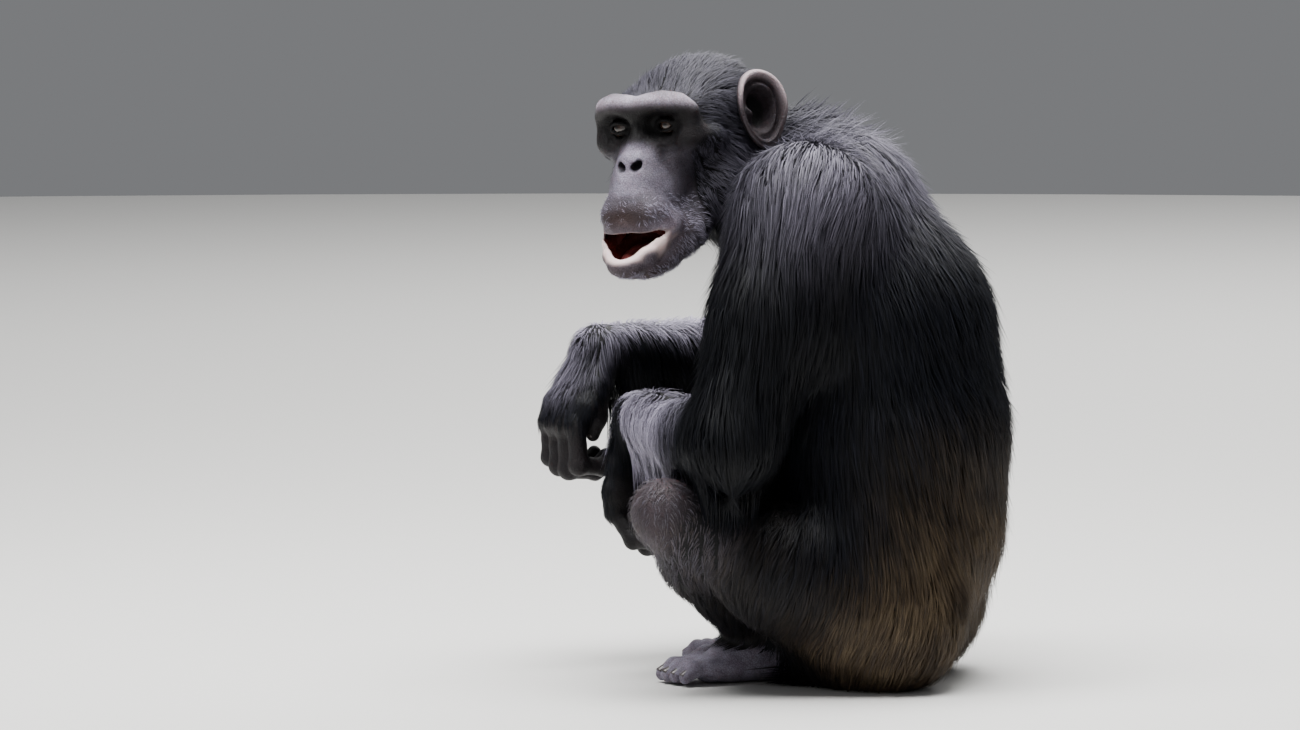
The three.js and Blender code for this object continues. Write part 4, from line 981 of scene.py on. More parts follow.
def eye_nodes(tree, place, settings):
    """A wet eyeball: dark iris round the pupil and a brown, nearly hidden white."""
    # How many degrees each point lies from the middle of the pupil.
    turn = add(tree, "ShaderNodeAttribute", {"attribute_name": "turn"}).outputs["Fac"]
    # Fibres of the iris, about 1 mm apart.
    fibres = add(tree, "ShaderNodeTexNoise", {}, {"Vector": place, "Scale": 900, "Detail": 3}).outputs[0]
    iris = add(tree, "ShaderNodeMix", COLOURS, {
        FACTOR: fibres, UNDER: settings.iris, OVER: settings.iris_light}).outputs[2]
    colour = settings.pupil
    for first, last, over in ((10, 12, iris), (27, 31, settings.white)):
        edge = add(tree, "ShaderNodeMapRange", {}, {0: turn, 1: first, 2: last}).outputs[0]
        colour = add(tree, "ShaderNodeMix", COLOURS, {FACTOR: edge, UNDER: colour, OVER: over}).outputs[2]
    return add(tree, "ShaderNodeBsdfPrincipled", {}, {
        "Base Color": colour, "Roughness": 0.12, "IOR": 1.38, "Coat Weight": 1.0,
        "Coat Roughness": 0.03})


def tongue_nodes(tree, place, settings):
    """A wet tongue, its top rough with papillae about 1.4 mm apart, somewhat coarser than real ones."""
    bumps = add(tree, "ShaderNodeTexVoronoi", {}, {"Vector": place, "Scale": 700}).outputs["Distance"]
    blotch = add(tree, "ShaderNodeTexNoise", {}, {"Vector": place, "Scale": 120, "Detail": 3}).outputs[0]
    share = add(tree, "ShaderNodeMapRange", {}, {0: blotch, 1: 0.3, 2: 0.7}).outputs[0]
    colour = add(tree, "ShaderNodeMix", COLOURS, {
        FACTOR: share, UNDER: settings.tongue, OVER: settings.mouth}).outputs[2]
    relief = add(tree, "ShaderNodeBump", {}, {"Strength": 0.5, "Distance": 0.0006, "Height": bumps})
    return add(tree, "ShaderNodeBsdfPrincipled", {}, {
        "Base Color": colour, "Roughness": 0.3, "Normal": relief.outputs[0], "IOR": 1.42})


def nail_nodes(tree, place, settings):
    """Nail horn, dark, with lighter streaks about 2 mm apart."""
    ridges = add(tree, "ShaderNodeTexNoise", {}, {"Vector": place, "Scale": 600, "Detail": 2}).outputs[0]
    colour = add(tree, "ShaderNodeMix", COLOURS, {
        FACTOR: ridges, UNDER: settings.nail, OVER: settings.nail_light}).outputs[2]
    relief = add(tree, "ShaderNodeBump", {}, {"Strength": 0.3, "Distance": 0.0003, "Height": ridges})
    return add(tree, "ShaderNodeBsdfPrincipled", {}, {
        "Base Color": colour, "Roughness": 0.35, "Normal": relief.outputs[0], "IOR": 1.54})


def floor_nodes(tree, place, settings):
    """A matt painted studio floor with a barely visible grain of about 3 mm."""
    grain = add(tree, "ShaderNodeTexNoise", {}, {"Vector": place, "Scale": 300, "Detail": 2}).outputs[0]
    relief = add(tree, "ShaderNodeBump", {}, {"Strength": 0.08, "Distance": 0.0005, "Height": grain})
    return add(tree, "ShaderNodeBsdfPrincipled", {}, {
        "Base Color": settings.floor, "Roughness": 0.85, "Normal": relief.outputs[0]})


# The coat. Each tuft is a thin three-sided blade of two rings and a point, that follows its lie:
# how far along it each ring lies, its share of the coat's depth and its half width.
RING_AT = (0, 0.42, 1)
RING_RISE = (None, 0.62, 1)
RING_HALF = (0.42, 0.5, 0)
TUFT_POINTS = 7
TUFT_SINK = 1.5
TUFT_RIDGE = 0.5
TUFT_TWIST = 0.35
# A ring is moved this far at most to its height over the skin.
RING_SHIFT = 14
# Hair gathers in clumps about this wide, each tuft drawn this share of the way to its clump.
CLUMP, CLUMP_PULL = 15, 0.2
STAND_LIE = (0, 0.5, 0.7)
# How wide the change of lie is between two regions, and how far the lie wanders and scatters.
LIE_BLEND, LIE_WANDER, LIE_SCATTER = 10, 0.045, 0.06
# Sheet faces further than this from the body's surface lie inside it and bear no coat.
OFF_SKIN = 2.5
# No tuft grows lower than this over the floor, and no coat is thinner than this.
ROOT_LOWEST, COAT_THINNEST = 6, 2.2


def scalp_lie(p):
    _, l, u = to_head(p).T
    fall = np.clip((np.abs(l) - 26) / 30 - u / 90, 0, 1.2)
    return -HEAD[0] - fall[:, None] * HEAD[2]


def constant(v):
    """The same lie everywhere."""
    return lambda p: np.broadcast_to(unit(v), p.shape)


def outwards(p):
    """-1 on the right of the spine and 1 on its left, with an even change between them."""
    return np.clip((p[:, :1] + 10) / 40, -1, 1)


def trunk_lie(p):
    """Down the back and flanks, out over the shoulders."""
    high = ramp(p[:, 2], 380, 490)[:, None]
    return arr(0, 0.1, -1) + high * (arr(0.9, 0, 0) * outwards(p) + arr(0, 0.35, 0))


def arm_lie(shoulder, elbow, **_):
    """Down the upper arm, and outwards over the top of the shoulder."""
    down = unit(np.subtract(elbow, shoulder)) + (0, 0.2, 0)
    over = arr(math.copysign(0.9, shoulder[0]), 0, 0)
    return lambda p: down + ramp(p[:, 2], 430, 515)[:, None] * over


def neck_lie(p):
    """Back over the nape and out over the edge of the shoulders' coat."""
    return arr(0, 0.65, -0.45) + arr(0.5, 0, 0) * outwards(p)


LIES = {"trunk": trunk_lie, "neck": neck_lie, "head": scalp_lie}
for _name, _side in SIDES.items():
    _s = {key: np.array(value, float) for key, value in _side.items()}
    LIES["upper_arm_" + _name] = arm_lie(**_s)
    LIES["forearm_" + _name] = constant(unit(_s["elbow"] - _s["wrist"]) * 0.3 + (0, 0, -1))
    LIES["thigh_" + _name] = constant(unit(_s["knee"] - _s["hip"]) * 0.35 + (0, 0, -1))
    LIES["shin_" + _name] = constant(unit(_s["ankle"] - _s["knee"]) + (0, 0, -0.4))
    LIES["hand_" + _name] = constant((0, 0, -1))
    LIES["foot_" + _name] = constant(FEET[_name][2])


def wander(p):
    """A slow, even change of direction over the body, so that the coat doesn't lie like combed."""
    x, y, z = (p / 1000).T
    return np.stack([
        np.sin(61 * y + 37 * z) + np.sin(143 * z - 90 * x + 1.3),
        np.sin(58 * z + 41 * x + 0.7) + np.sin(131 * x - 83 * y + 2.1),
        np.sin(67 * x + 33 * y + 1.9) + np.sin(151 * y - 71 * z + 0.4)], 1)


def lie_at(p):
    """The way the coat lies at each place, the nearest regions' ways blended."""
    near = own_distances(p)
    weight = np.exp(-(near - near.min(0)) / LIE_BLEND)
    way = sum(weight[k][:, None] * LIES[name](p) for k, name in enumerate(REGION_NAMES))
    return unit(unit(way) + LIE_WANDER * wander(p))


def clump_centre(p):
    """A fixed random point near each place, shared by the tufts around it."""
    cell = np.floor(p / CLUMP)
    h = np.sin(cell @ np.array([[12.9, 78.2, 37.7], [39.3, 11.1, 83.1], [73.1, 52.2, 9.2]])) * 43758.5
    return (cell + (h - np.floor(h))) * CLUMP


def grow(roots, out, lie0, long, depth, width, free, stand, random):
    """Points of every tuft, ring by ring, and the way each point's surface is seen to face."""
    volume = body_volume()
    n = len(roots)
    rise = random.uniform(0.5, 0.95, n) + 0.35 * (random.uniform(0, 1, n) > 0.95)
    pull = clump_centre(roots) - roots
    p = roots - out * TUFT_SINK
    lines, outs = [p], [out]
    for i in (1, 2):
        step = long * (RING_AT[i] - RING_AT[i - 1])
        lie = unit(mix(lie_at(p), STAND_LIE, stand[:, None])) if i > 1 else lie0
        normal = volume.out(p) if i > 1 else out
        along = unit(lie - dots(lie, normal)[:, None] * normal * (1 - free[:, None]))
        p = p + along * step[:, None]
        side = pull - dots(pull, normal)[:, None] * normal
        side = side - dots(side, along)[:, None] * along
        p = p + side * CLUMP_PULL
        goal = depth * RING_RISE[i] * rise
        height = volume.height(p)
        shift = np.clip(goal - height, -RING_SHIFT, RING_SHIFT) * np.where(height > goal, 1 - free, 1)
        p = p + volume.out(p) * shift[:, None]
        lines.append(p)
        outs.append(volume.out(p))
    twist = random.uniform(-TUFT_TWIST, TUFT_TWIST, n)
    points, faces_to = [], []
    for i, share in enumerate(RING_HALF):
        along = unit(lines[min(i + 1, 2)] - lines[max(i - 1, 0)])
        across = unit(np.cross(outs[i], along))
        up = np.cross(along, across)
        across = across * np.cos(twist)[:, None] + up * np.sin(twist)[:, None]
        up = np.cross(along, across)
        half = (share * width)[:, None]
        over = unit(outs[i] * 0.6 + up * 0.4)
        if share == 0:
            points.append(lines[i][:, None])
            faces_to.append(over[:, None])
        else:
            points.append(np.stack([lines[i] + across * half, lines[i] + up * half * TUFT_RIDGE,
                                    lines[i] - across * half], 1))
            faces_to.append(np.stack([unit(over + across * 0.45), over, unit(over - across * 0.45)], 1))
    points = np.concatenate(points, 1)
    points[..., 2] = np.maximum(points[..., 2], FLOOR_CLEAR)
    return points, np.concatenate(faces_to, 1)


def tuft_faces(n):
    """Quads and triangles of n tufts, wound to face outwards."""
    quads, tris = [], [(2, 1, 0)]
    for k in range(3):
        after = (k + 1) % 3
        quads.append((k, after, 3 + after, 3 + k))
        tris.append((3 + k, 3 + after, 6))
    offset = (np.arange(n) * TUFT_POINTS)[:, None, None]
    return [(np.array(quads)[None] + offset).reshape(-1, 4), (np.array(tris)[None] + offset).reshape(-1, 3)]


def region_uv(name, p):
    """Where a point of the skin lies on its region's unwrap: round it and along it, 0 to 1."""
    if name.startswith("head"):
        q = to_head(p) - (0, 0, -20)
        flat = unit(q)
        return np.stack([np.arctan2(flat[:, 1], flat[:, 0]) / (2 * np.pi) + 0.5,
                         np.arcsin(np.clip(flat[:, 2], -1, 1)) / np.pi + 0.5], 1)
    ends = {"trunk": ((0, 90, 0), (0, 60, 520)), "neck": ((0, 60, 440), (0, -90, 600))}
    for side, joints in SIDES.items():
        ends["upper_arm_" + side] = (joints["shoulder"], joints["elbow"])
        ends["forearm_" + side] = (joints["elbow"], joints["wrist"])
        ends["thigh_" + side] = (joints["hip"], joints["knee"])
        ends["shin_" + side] = (joints["knee"], joints["ankle"])
        ends["hand_" + side] = (HANDS[side][2], HANDS[side][3])
        ends["foot_" + side] = (joints["ankle"], np.array(joints["ankle"]) + FEET[side][2] * 60)
    a, b = (np.array(e, float) for e in ends[name])
    axis = unit(b - a)
    first = unit(np.cross(axis, (0.3, 1, 0.2)))
    q = p - a
    round_ = np.arctan2(q @ np.cross(axis, first), q @ first) / (2 * np.pi) + 0.5
    along = q @ axis / np.linalg.norm(b - a)
    return np.stack([round_, np.clip(0.15 + 0.7 * along, 0, 1)], 1)


def coat_marks(p, out, region, random):
    """Colour marks of the coat at each root."""
    y, z = p.T[1:]
    n = len(p)
    low_back = ramp(y, 90, 190) * ramp(z, 330, 120)
    rump = ramp(z, 170, 60) * ramp(y, 20, 120) * 0.8
    brown = np.clip(low_back + rump, 0, 1)
    # Painted sheen on the tops of the shoulders, where light from above catches the coat.
    silver = 0.3 * np.exp(-((z - 525) / 55) ** 2 - ((y - 80) / 85) ** 2)
    kind, side = kind_and_side(region)
    joints = SIDES.get(side)
    # Painted light on the upper, outer side of the left forearm's hanging hair.
    if region == "forearm_left":
        outer = ramp(out @ unit((0.6, -0.4, 0.6)), -0.6, 0.2)
        silver = 0.95 * outer * ramp(away(p, joints["elbow"]), 60, 130)
    # Painted highlight along the top of the right forearm and on the front of its wrist.
    if region == "forearm_right":
        wrist = ramp(away(p, joints["wrist"]), 70, 20)
        silver = 0.9 * ramp(out[:, 2], 0.62, 1) + 0.4 * wrist * ramp(out @ unit((0, -1, 0.4)), 0, 0.8)
    if region == "hand_left":
        silver = np.zeros(n)
    # Painted highlight on the back of the right hand by the wrist.
    if region == "hand_right":
        along, over = palm_place("right", p)
        across = (p - HANDS["right"][2]) @ HAND_POSES["right"]["thumb"]
        silver = 0.55 * ramp(along, 1.0, 0.0) * ramp(over, -4, 8) * ramp(across, 34, 4)
    # The crown is lighter as a painted highlight of the light from above; the hair low on the cheeks is its
    # own grey.
    if region == "head":
        up = to_head(p)[:, 2]
        silver = 0.03 + 0.07 * ramp(up, 0, 50) + 0.13 * ramp(up, 25, -15)
    if region == "beard":
        silver = np.full(n, 0.75)
    if kind in ("thigh", "shin"):
        knee = ramp(away(p, joints["knee"]), 100, 40)
        brown = np.maximum(brown, 0.25 * knee + 0.08)
        silver = silver + 0.14 * knee
    silver = np.clip(silver * random.uniform(0.3, 1.6, n), 0, 1)
    brown = np.clip(brown * random.uniform(0.4, 1.5, n), 0, 1)
    # The upper arm's hair is drawn darker as painted shade of the arm's side.
    shade = random.uniform(0, 1, n) ** 1.5 * (0.4 if kind == "upper_arm" else 1)
    return {"shade": shade, "brown": brown, "silver": silver}


@functools.cache
def sheet_faces(name):
    """Middles, areas and regions of a sheet's faces. Faces inside the body have region -1."""
    points, quads = skin_sheets()[name]
    centre = points[quads].mean(1)
    a, b, c, d = (points[quads[:, k]] for k in range(4))
    area = np.linalg.norm(np.cross(c - a, d - b), axis=1) / 2
    own = own_distances(centre).argmin(0)
    own[np.abs(body_volume().height(centre)) > OFF_SKIN] = -1
    return centre, area, own


def roots_on(name, spacing, region, random, keep):
    """Root places spread evenly over a sheet of skin."""
    points, quads = skin_sheets()[name]
    a, b, c, d = (points[quads[:, k]] for k in range(4))
    centre, area, own = sheet_faces(name)
    chosen = np.flatnonzero(own == REGION_NAMES.index(region))
    share = area[chosen] * keep(centre[chosen]) / spacing ** 2
    times = np.floor(share + random.uniform(0, 1, len(chosen))).astype(int)
    picks = np.repeat(chosen, times)
    u, v = random.uniform(0, 1, (2, len(picks), 1))
    return (a[picks] * (1 - u) + b[picks] * u) * (1 - v) + (d[picks] * (1 - u) + c[picks] * u) * v


# The coat of each region: which sheets of skin it grows on, how far apart its tufts stand, how
# long and how wide they are and how freely they hang.
COATS = {
    "trunk": (("body",), 2.55, (40, 68), (1.0, 2.0), 0.1),
    "neck": (("body", "face"), 2.2, (34, 58), (1.0, 1.8), 0.15),
    "head": (("body", "face"), 1.9, (17, 30), (0.7, 1.3), 0.05),
    "upper_arm": (("body", "face"), 2.4, (40, 66), (1.0, 1.9), 0.1),
    "forearm": (("body", "hand"), 2.2, (34, 56), (0.9, 1.7), 0.3),
    "thigh": (("body",), 2.6, (26, 44), (1.0, 1.9), 0.05),
    "shin": (("body", "foot"), 2.5, (18, 30), (0.9, 1.7), 0.05),
    "hand": (("hand",), 2.0, (10, 17), (0.7, 1.2), 0.0),
    "foot": (("foot",), 2.4, (9, 15), (0.8, 1.4), 0.0),
    "beard": (("face",), 1.9, (3.5, 7), (0.25, 0.42), 0.5),
}
PIECE_MOST = 19_000


def growth(region):
    """How thickly the coat of a region grows at each place, 0 to 1."""
    kind, side = kind_and_side(region)
    if kind == "head":
        return lambda p: 1 - hairless(p)
    if kind == "beard":
        return bearded
    if kind == "hand":
        def on_back(p):
            along, over = palm_place(side, p)
            return np.maximum(ramp(along, 1.15, 0.9) * ramp(over, -8, 2), ramp(along, 0.25, 0.05))
        return on_back
    if kind == "foot":
        return lambda p: ramp(p[:, 2], 34, 48)
    if kind in ("thigh", "shin"):
        return lambda p: 0.45 + 0.55 * ramp(away(p, SIDES[side]["knee"]), 36, 70)
    return lambda p: np.ones(len(p))


def long_at(region, p, out):
    """Share of the full length at each place: short round the bare parts, long where it hangs."""
    kind, side = kind_and_side(region)
    if kind == "head":
        return 0.3 + 0.7 * ramp(to_head(p)[:, 0], 70, 5)
    if kind == "hand":
        return 1 + 1.5 * ramp(palm_place(side, p)[0], 0.3, 0)
    if kind in ("thigh", "shin"):
        return 0.26 + 0.74 * ramp(away(p, SIDES[side]["knee"]), 45, 140)
    if kind == "forearm":
        from_wrist = away(p, SIDES[side]["wrist"])
        over, under = 0.45 + 0.55 * ramp(from_wrist, 15, 90), 1.2
        if side == "right":
            over = over * (1 - 0.4 * ramp(out[:, 2], 0.4, 0.9))
            under = 1.1 + 0.5 * ramp(from_wrist, 130, 70)
        return np.maximum(over, under * ramp(out[:, 2], 0.6, -0.2))
    return np.ones(len(p))


def standing(region, p, random):
    """How far the tufts of the nape stand up instead of lying."""
    if region not in ("neck", "trunk"):
        return np.zeros(len(p))
    _, y, z = p.T
    nape = ramp(z, 485, 520) * ramp(y, -20, 0) * ramp(y, 110, 50)
    return 0.95 * nape * random.uniform(0, 1, len(p)) ** 2


def coat_region(region, number, material):
    """Grows one region's coat and makes it up in pieces of PIECE_MOST tufts at most."""
    kind, side = kind_and_side(region)
    sheets, spacing, lengths, widths, hang = COATS[kind]
    random = np.random.default_rng(SEED + number)
    settings = bpy.context.scene.chimp_coat
    home = "head" if region == "beard" else region
    names = [s if s in ("body", "face") else f"{s}_{side}" for s in sheets]
    roots = np.concatenate([roots_on(s, spacing * settings.spacing, home, random, growth(region))
                            for s in names])
    roots = roots[roots[:, 2] > ROOT_LOWEST]
    out = body_volume().out(roots)
    n = len(roots)
    share = long_at(region, roots, out)
    stand = standing(region, roots, random)
    depth = np.maximum(body_volume().depth(roots) * np.minimum(share + 0.25, 1), COAT_THINNEST)
    long = random.uniform(*lengths, n) * share * (1 - 0.1 * stand) * settings.length
    width = random.uniform(*widths, n) * settings.width * (0.4 + 0.6 * np.minimum(share, 1))
    free = np.maximum(hang, 0.9 * stand)
    if kind == "forearm":
        free = free + 0.5 * ramp(out[:, 2], 0.2, -0.5)
    scatter = random.normal(0, LIE_SCATTER, (n, 3))
    lie0 = unit(mix(lie_at(roots), STAND_LIE, stand[:, None]) + scatter)
    points, faces_to = grow(roots, out, lie0, long, depth, width, free, stand, random)
    marks = coat_marks(roots, out, region, random)
    uv = region_uv(home, roots)
    order = np.argsort(uv[:, 0], kind="stable")
    pieces = max(1, math.ceil(n / PIECE_MOST))
    for k, some in enumerate(np.array_split(order, pieces)):
        name = "coat_" + region + (f"_{k + 1}" if pieces > 1 else "")
        coat_piece(name, points[some], faces_to[some], {key: m[some] for key, m in marks.items()},
                   uv[some], material)


# Each tuft takes a patch of the unwrap this wide.
UV_PATCH = 0.003


def coat_piece(name, points, faces_to, marks, uv, material):
    """One mesh of tufts, with its colour marks, its normals and its unwrap."""
    masks = {key: np.repeat(m, TUFT_POINTS) for key, m in marks.items()}
    made = mesh_piece(name, points.reshape(-1, 3), tuft_faces(len(points)), material, masks)
    made.data.normals_split_custom_set_from_vertices(faces_to.reshape(-1, 3).astype(np.float32))
    local = np.array([(0, 0), (0.5, 0), (1, 0), (0, 0.5), (0.5, 0.5), (1, 0.5), (0.5, 1)])
    spots = (uv[:, None] * (1 - UV_PATCH) + local[None] * UV_PATCH).reshape(-1, 2)
    layer = made.data.uv_layers.new(name="OFBake")
    corners = np.zeros(len(made.data.loops), np.int32)
    made.data.loops.foreach_get("vertex_index", corners)
    layer.data.foreach_set("uv", spots[corners].astype(np.float32).ravel())
    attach(made, "root")


def colour_prop(name, description, code):
    return bpy.props.FloatVectorProperty(name=name, description=description, subtype="COLOR", size=3,
                                         min=0, max=1, default=srgb(code))


def length_prop(name, description, metres):
    return bpy.props.FloatProperty(name=name, description=description, default=metres, min=0.0002,
                                   max=1, precision=4, unit="LENGTH", subtype="DISTANCE")


def share_prop(name, description, low, high):
    return bpy.props.FloatProperty(name=name, description=description, default=1, min=low, max=high,
                                   subtype="FACTOR")


def power_prop(name, description, watts):
    return bpy.props.FloatProperty(name=name, description=description, default=watts, min=0,
                                   unit="POWER")


class ChimpSkinSettings(bpy.types.PropertyGroup):
    """Sizes and colours of the bare skin."""
    body_cell: length_prop("Body Mesh", "Size of the skin's faces under the coat", 0.005)
    face_cell: length_prop("Face Mesh", "Size of the skin's faces on the face", 0.0017)
    hand_cell: length_prop("Hand Mesh", "Size of the skin's faces on the hands", 0.002)
    foot_cell: length_prop("Foot Mesh", "Size of the skin's faces on the feet", 0.0024)
    dark: colour_prop("Dark Skin", "Skin of the cheeks, hands and feet", "#151215")
    warm_dark: colour_prop("Warm Dark Skin", "Blotches in the dark skin", "#211c1e")
    # The light-coloured skin also gives the painted highlights of the brow, nose and ear rims.
    pale: colour_prop("Pale Skin", "Skin of the muzzle and brow", "#918b9b")
    lilac: colour_prop("Lilac Skin", "Blotches in the pale skin", "#756d7c")
    ruddy: colour_prop("Ruddy Skin", "Warm skin of the ears, cheeks and palms", "#5c443f")
    # Painted shade in the eye sockets, nostrils and ear cups and on the hands, and the upper lip's darker
    # band.
    deep: colour_prop("Shadowed Skin", "Skin round the eyes and in the nostrils", "#070607")
    # Also a tint in the painted highlights of the brow and ear rims.
    lip: colour_prop("Lip", "Rim of the lips", "#ead2d0")
    mouth: colour_prop("Mouth", "Inside of the mouth", "#4a1512")
    tongue: colour_prop("Tongue", "Top of the tongue", "#8d4a48")
    under_coat: colour_prop("Skin Under the Coat", "Skin where the coat grows", "#08070a")
    nail: colour_prop("Nail", "Horn of the nails", "#2b2524")
    nail_light: colour_prop("Nail Ridges", "Lighter streaks of the nails", "#4a403d")


class ChimpCoatSettings(bpy.types.PropertyGroup):
    """Sizes and colours of the coat."""
    spacing: share_prop("Tuft Spacing", "Space between tufts, as a share", 0.5, 10)
    length: share_prop("Tuft Length", "Length of tufts, as a share", 0.2, 2)
    width: share_prop("Tuft Width", "Width of tufts, as a share", 0.2, 3)
    black: colour_prop("Black Hair", "Darkest hair", "#050609")
    cool: colour_prop("Cool Hair", "Lighter hair among the black", "#13151e")
    brown: colour_prop("Brown Hair", "Hair of the lower back and knees", "#382d21")
    tan: colour_prop("Tan Hair", "Faded hair among the brown", "#5d4f3d")
    # Painted sheen on the shoulders, forearms, right hand and crown, and the grey and white hair of the
    # cheeks and lips.
    silver: colour_prop("Silver Hair", "Greyed hair of the shoulders and forearms", "#a59fb3")


class ChimpEyeSettings(bpy.types.PropertyGroup):
    """Sizes and colours of the eyes."""
    radius: length_prop("Eyeball Radius", "Half the eyeball's width", EYE_RADIUS / 1000)
    pupil: colour_prop("Pupil", "Colour of the pupil", "#070707")
    iris: colour_prop("Iris", "Darker colour of the iris", "#1d1009")
    iris_light: colour_prop("Iris Streaks", "Lighter streaks of the iris", "#3f2614")
    white: colour_prop("White of the Eye", "It is dark brown in this species", "#1f1612")


class ChimpStageSettings(bpy.types.PropertyGroup):
    """Floor, light and camera."""
    floor: colour_prop("Floor", "Colour of the floor", "#cfcecb")
    backdrop: colour_prop("Surroundings", "Colour of the soft light from all round", "#e4e6ea")
    key: power_prop("Key Light", "Power of the soft light from above and in front", 62)
    top: power_prop("Top Light", "Power of the broad light overhead", 215)
    fill: power_prop("Fill Light", "Power of the soft light from the camera's side", 7)
    behind: power_prop("Floor Light", "Power of the light on the far floor", 420)


# Each light's name, place, width, the place it looks at and the setting with its power.
MIDDLE = (0, 0, 0.3)
LIGHTS = (
    ("key_light", (0.75, -1.1, 2.6), 1.2, MIDDLE, "key"),
    ("top_light", (0.15, 0.1, 2.8), 2.2, MIDDLE, "top"),
    ("fill_light", (2.8, 0.4, 1.2), 2.4, MIDDLE, "fill"),
    ("floor_light", (-4.5, 0.5, 4), 5, (-4.5, 0.5, 0), "behind"),
)
SURROUNDINGS_STRENGTH = 0.25
FLOOR_RADIUS, FLOOR_SIDES = 9000, 96
SENSOR_WIDTH = 36


def set_up(context, data, place, aim):
    """Puts a camera or a light at a place, turned to its aim. Both are in metres."""
    made = bpy.data.objects.new(data.name, data)
    made.location = place
    made.rotation_euler = (Vector(aim) - Vector(place)).to_track_quat("-Z", "Y").to_euler()
    context.scene.collection.objects.link(made)
    return made


class CHIMP_OT_stage(bpy.types.Operator):
    """Sets the camera at the photograph's view, the soft lights and the pale floor"""
    bl_idname = "chimp.stage"
    bl_label = "Studio"

    def execute(self, context):
        settings = context.scene.chimp_stage
        a, e = math.radians(VIEW_ROUND), math.radians(VIEW_UP)
        right = arr(-math.sin(a), math.cos(a), 0)
        towards = arr(math.cos(a) * math.cos(e), math.sin(a) * math.cos(e), math.sin(e))
        up = np.cross(towards, right)
        data = bpy.data.cameras.new("camera")
        data.sensor_width = SENSOR_WIDTH
        data.lens = SENSOR_WIDTH * VIEW_FAR / VIEW_WIDTH
        aim = (right * VIEW_MIDDLE[0] + up * VIEW_MIDDLE[1] + SHIFT) * 0.001
        context.scene.camera = set_up(context, data, (towards * VIEW_FAR + SHIFT) * 0.001, aim)
        for name, place, size, aim, power in LIGHTS:
            light = bpy.data.lights.new(name, "AREA")
            light.shape = "DISK"
            light.size = size
            light.energy = getattr(settings, power)
            set_up(context, light, place, aim)
        world = bpy.data.worlds.new("studio")
        world.use_nodes = True
        background = world.node_tree.nodes["Background"]
        background.inputs["Color"].default_value = (*settings.backdrop, 1)
        background.inputs["Strength"].default_value = SURROUNDINGS_STRENGTH
        context.scene.world = world
        turn = np.linspace(0, 2 * np.pi, FLOOR_SIDES, endpoint=False)
        ring = FLOOR_RADIUS * np.stack([np.cos(turn), np.sin(turn), 0 * turn], 1)
        material = new_material("Studio paint, matt", floor_nodes, settings)
        floor = mesh_piece("floor", ring - SHIFT, [np.arange(FLOOR_SIDES)[None]], material)
        return {"FINISHED"}


FLESH = [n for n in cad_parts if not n.startswith("eye_") and n != "tongue"]


class CHIMP_OT_skin(bpy.types.Operator):
    """Builds the skin of the whole animal as one piece, with its ears"""
    bl_idname = "chimp.skin"
    bl_label = "Skin"

    def execute(self, context):
        material = new_material("Skin, grey, creased", skin_nodes, context.scene.chimp_skin)
        sheets, marks = list(skin_sheets().values()), []
        for name, (points, _) in skin_sheets().items():
            marks.append(skin_marks(name, points))
        for side in (1, -1):
            points, quads, deep, rim = ear_sheet(side)
            sheets.append((points, quads))
            # The rim gets its painted highlight as light-coloured, lip and ruddy tone; the rest of the ear
            # gets painted shade, most in the cup.
            marks.append({"bare": np.ones(len(points)), "pale": 0.1 + 0.9 * rim, "pink": 0.3 * rim,
                          "mouth": 0 * rim, "deep": np.maximum(deep, 0.3 * (1 - rim)),
                          "ruddy": 0.12 + 0.1 * rim})
        masks = {key: np.concatenate([m[key] for m in marks]) for key in SKIN_MARKS}
        points, quads = joined(sheets)
        skin = mesh_piece("skin", points, [quads], material, masks)
        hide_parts(*FLESH)
        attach(skin, "root")
        return {"FINISHED"}


# How far an eyeball's clear front stands out, as a share of its radius, how wide it is in degrees
# and how far each eye looks outwards.
EYE_BULGE, EYE_BULGE_WIDE, EYE_APART = 0.075, 27, 0.12
EYE_ROUND, EYE_RINGS = 48, 39


def eyeball(side, radius):
    """Points, quads, triangles and each point's angle from the middle of the pupil."""
    angle = np.linspace(0, np.pi, EYE_RINGS + 2)[1:-1]
    turn = np.linspace(0, 2 * np.pi, EYE_ROUND, endpoint=False)
    a, t = (v.reshape(-1, 1) for v in np.meshgrid(angle, turn, indexing="ij"))
    gaze = unit(HEAD[0] + EYE_APART * side * HEAD[1])
    first = unit(np.cross(HEAD[2], gaze))
    second = np.cross(gaze, first)
    bulge = 1 + EYE_BULGE * np.exp(-(np.degrees(a) / EYE_BULGE_WIDE) ** 4)
    shell = bulge * (np.cos(a) * gaze + np.sin(a) * (np.cos(t) * first + np.sin(t) * second))
    points = np.vstack([shell, gaze * (1 + EYE_BULGE), -gaze]) * radius
    k = np.arange(EYE_ROUND)
    after = (k + 1) % EYE_ROUND
    last, ends = (EYE_RINGS - 1) * EYE_ROUND, len(shell) + np.zeros(EYE_ROUND, int)
    tris = np.concatenate([np.stack([ends, k, after], 1),
                           np.stack([ends + 1, last + after, last + k], 1)])
    turns = np.concatenate([np.degrees(a).ravel(), [0, 180]])
    return (points + on_head(np.array(EYE_AT) * (1, side, 1)),
            tube_quads(EYE_RINGS, EYE_ROUND)[:, ::-1], tris, turns)


class CHIMP_OT_eyes(bpy.types.Operator):
    """Builds both eyeballs, each with a bulging clear front"""
    bl_idname = "chimp.eyes"
    bl_label = "Eyes"

    def execute(self, context):
        settings = context.scene.chimp_eye
        material = new_material("Eye, wet, brown", eye_nodes, settings)
        for name, side in (("left", 1), ("right", -1)):
            points, quads, tris, turns = eyeball(side, settings.radius * 1000)
            eye = mesh_piece("eyeball_" + name, points, [quads, tris], material, {"turn": turns})
            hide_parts("eye_" + name)
            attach(eye, "root")
        return {"FINISHED"}


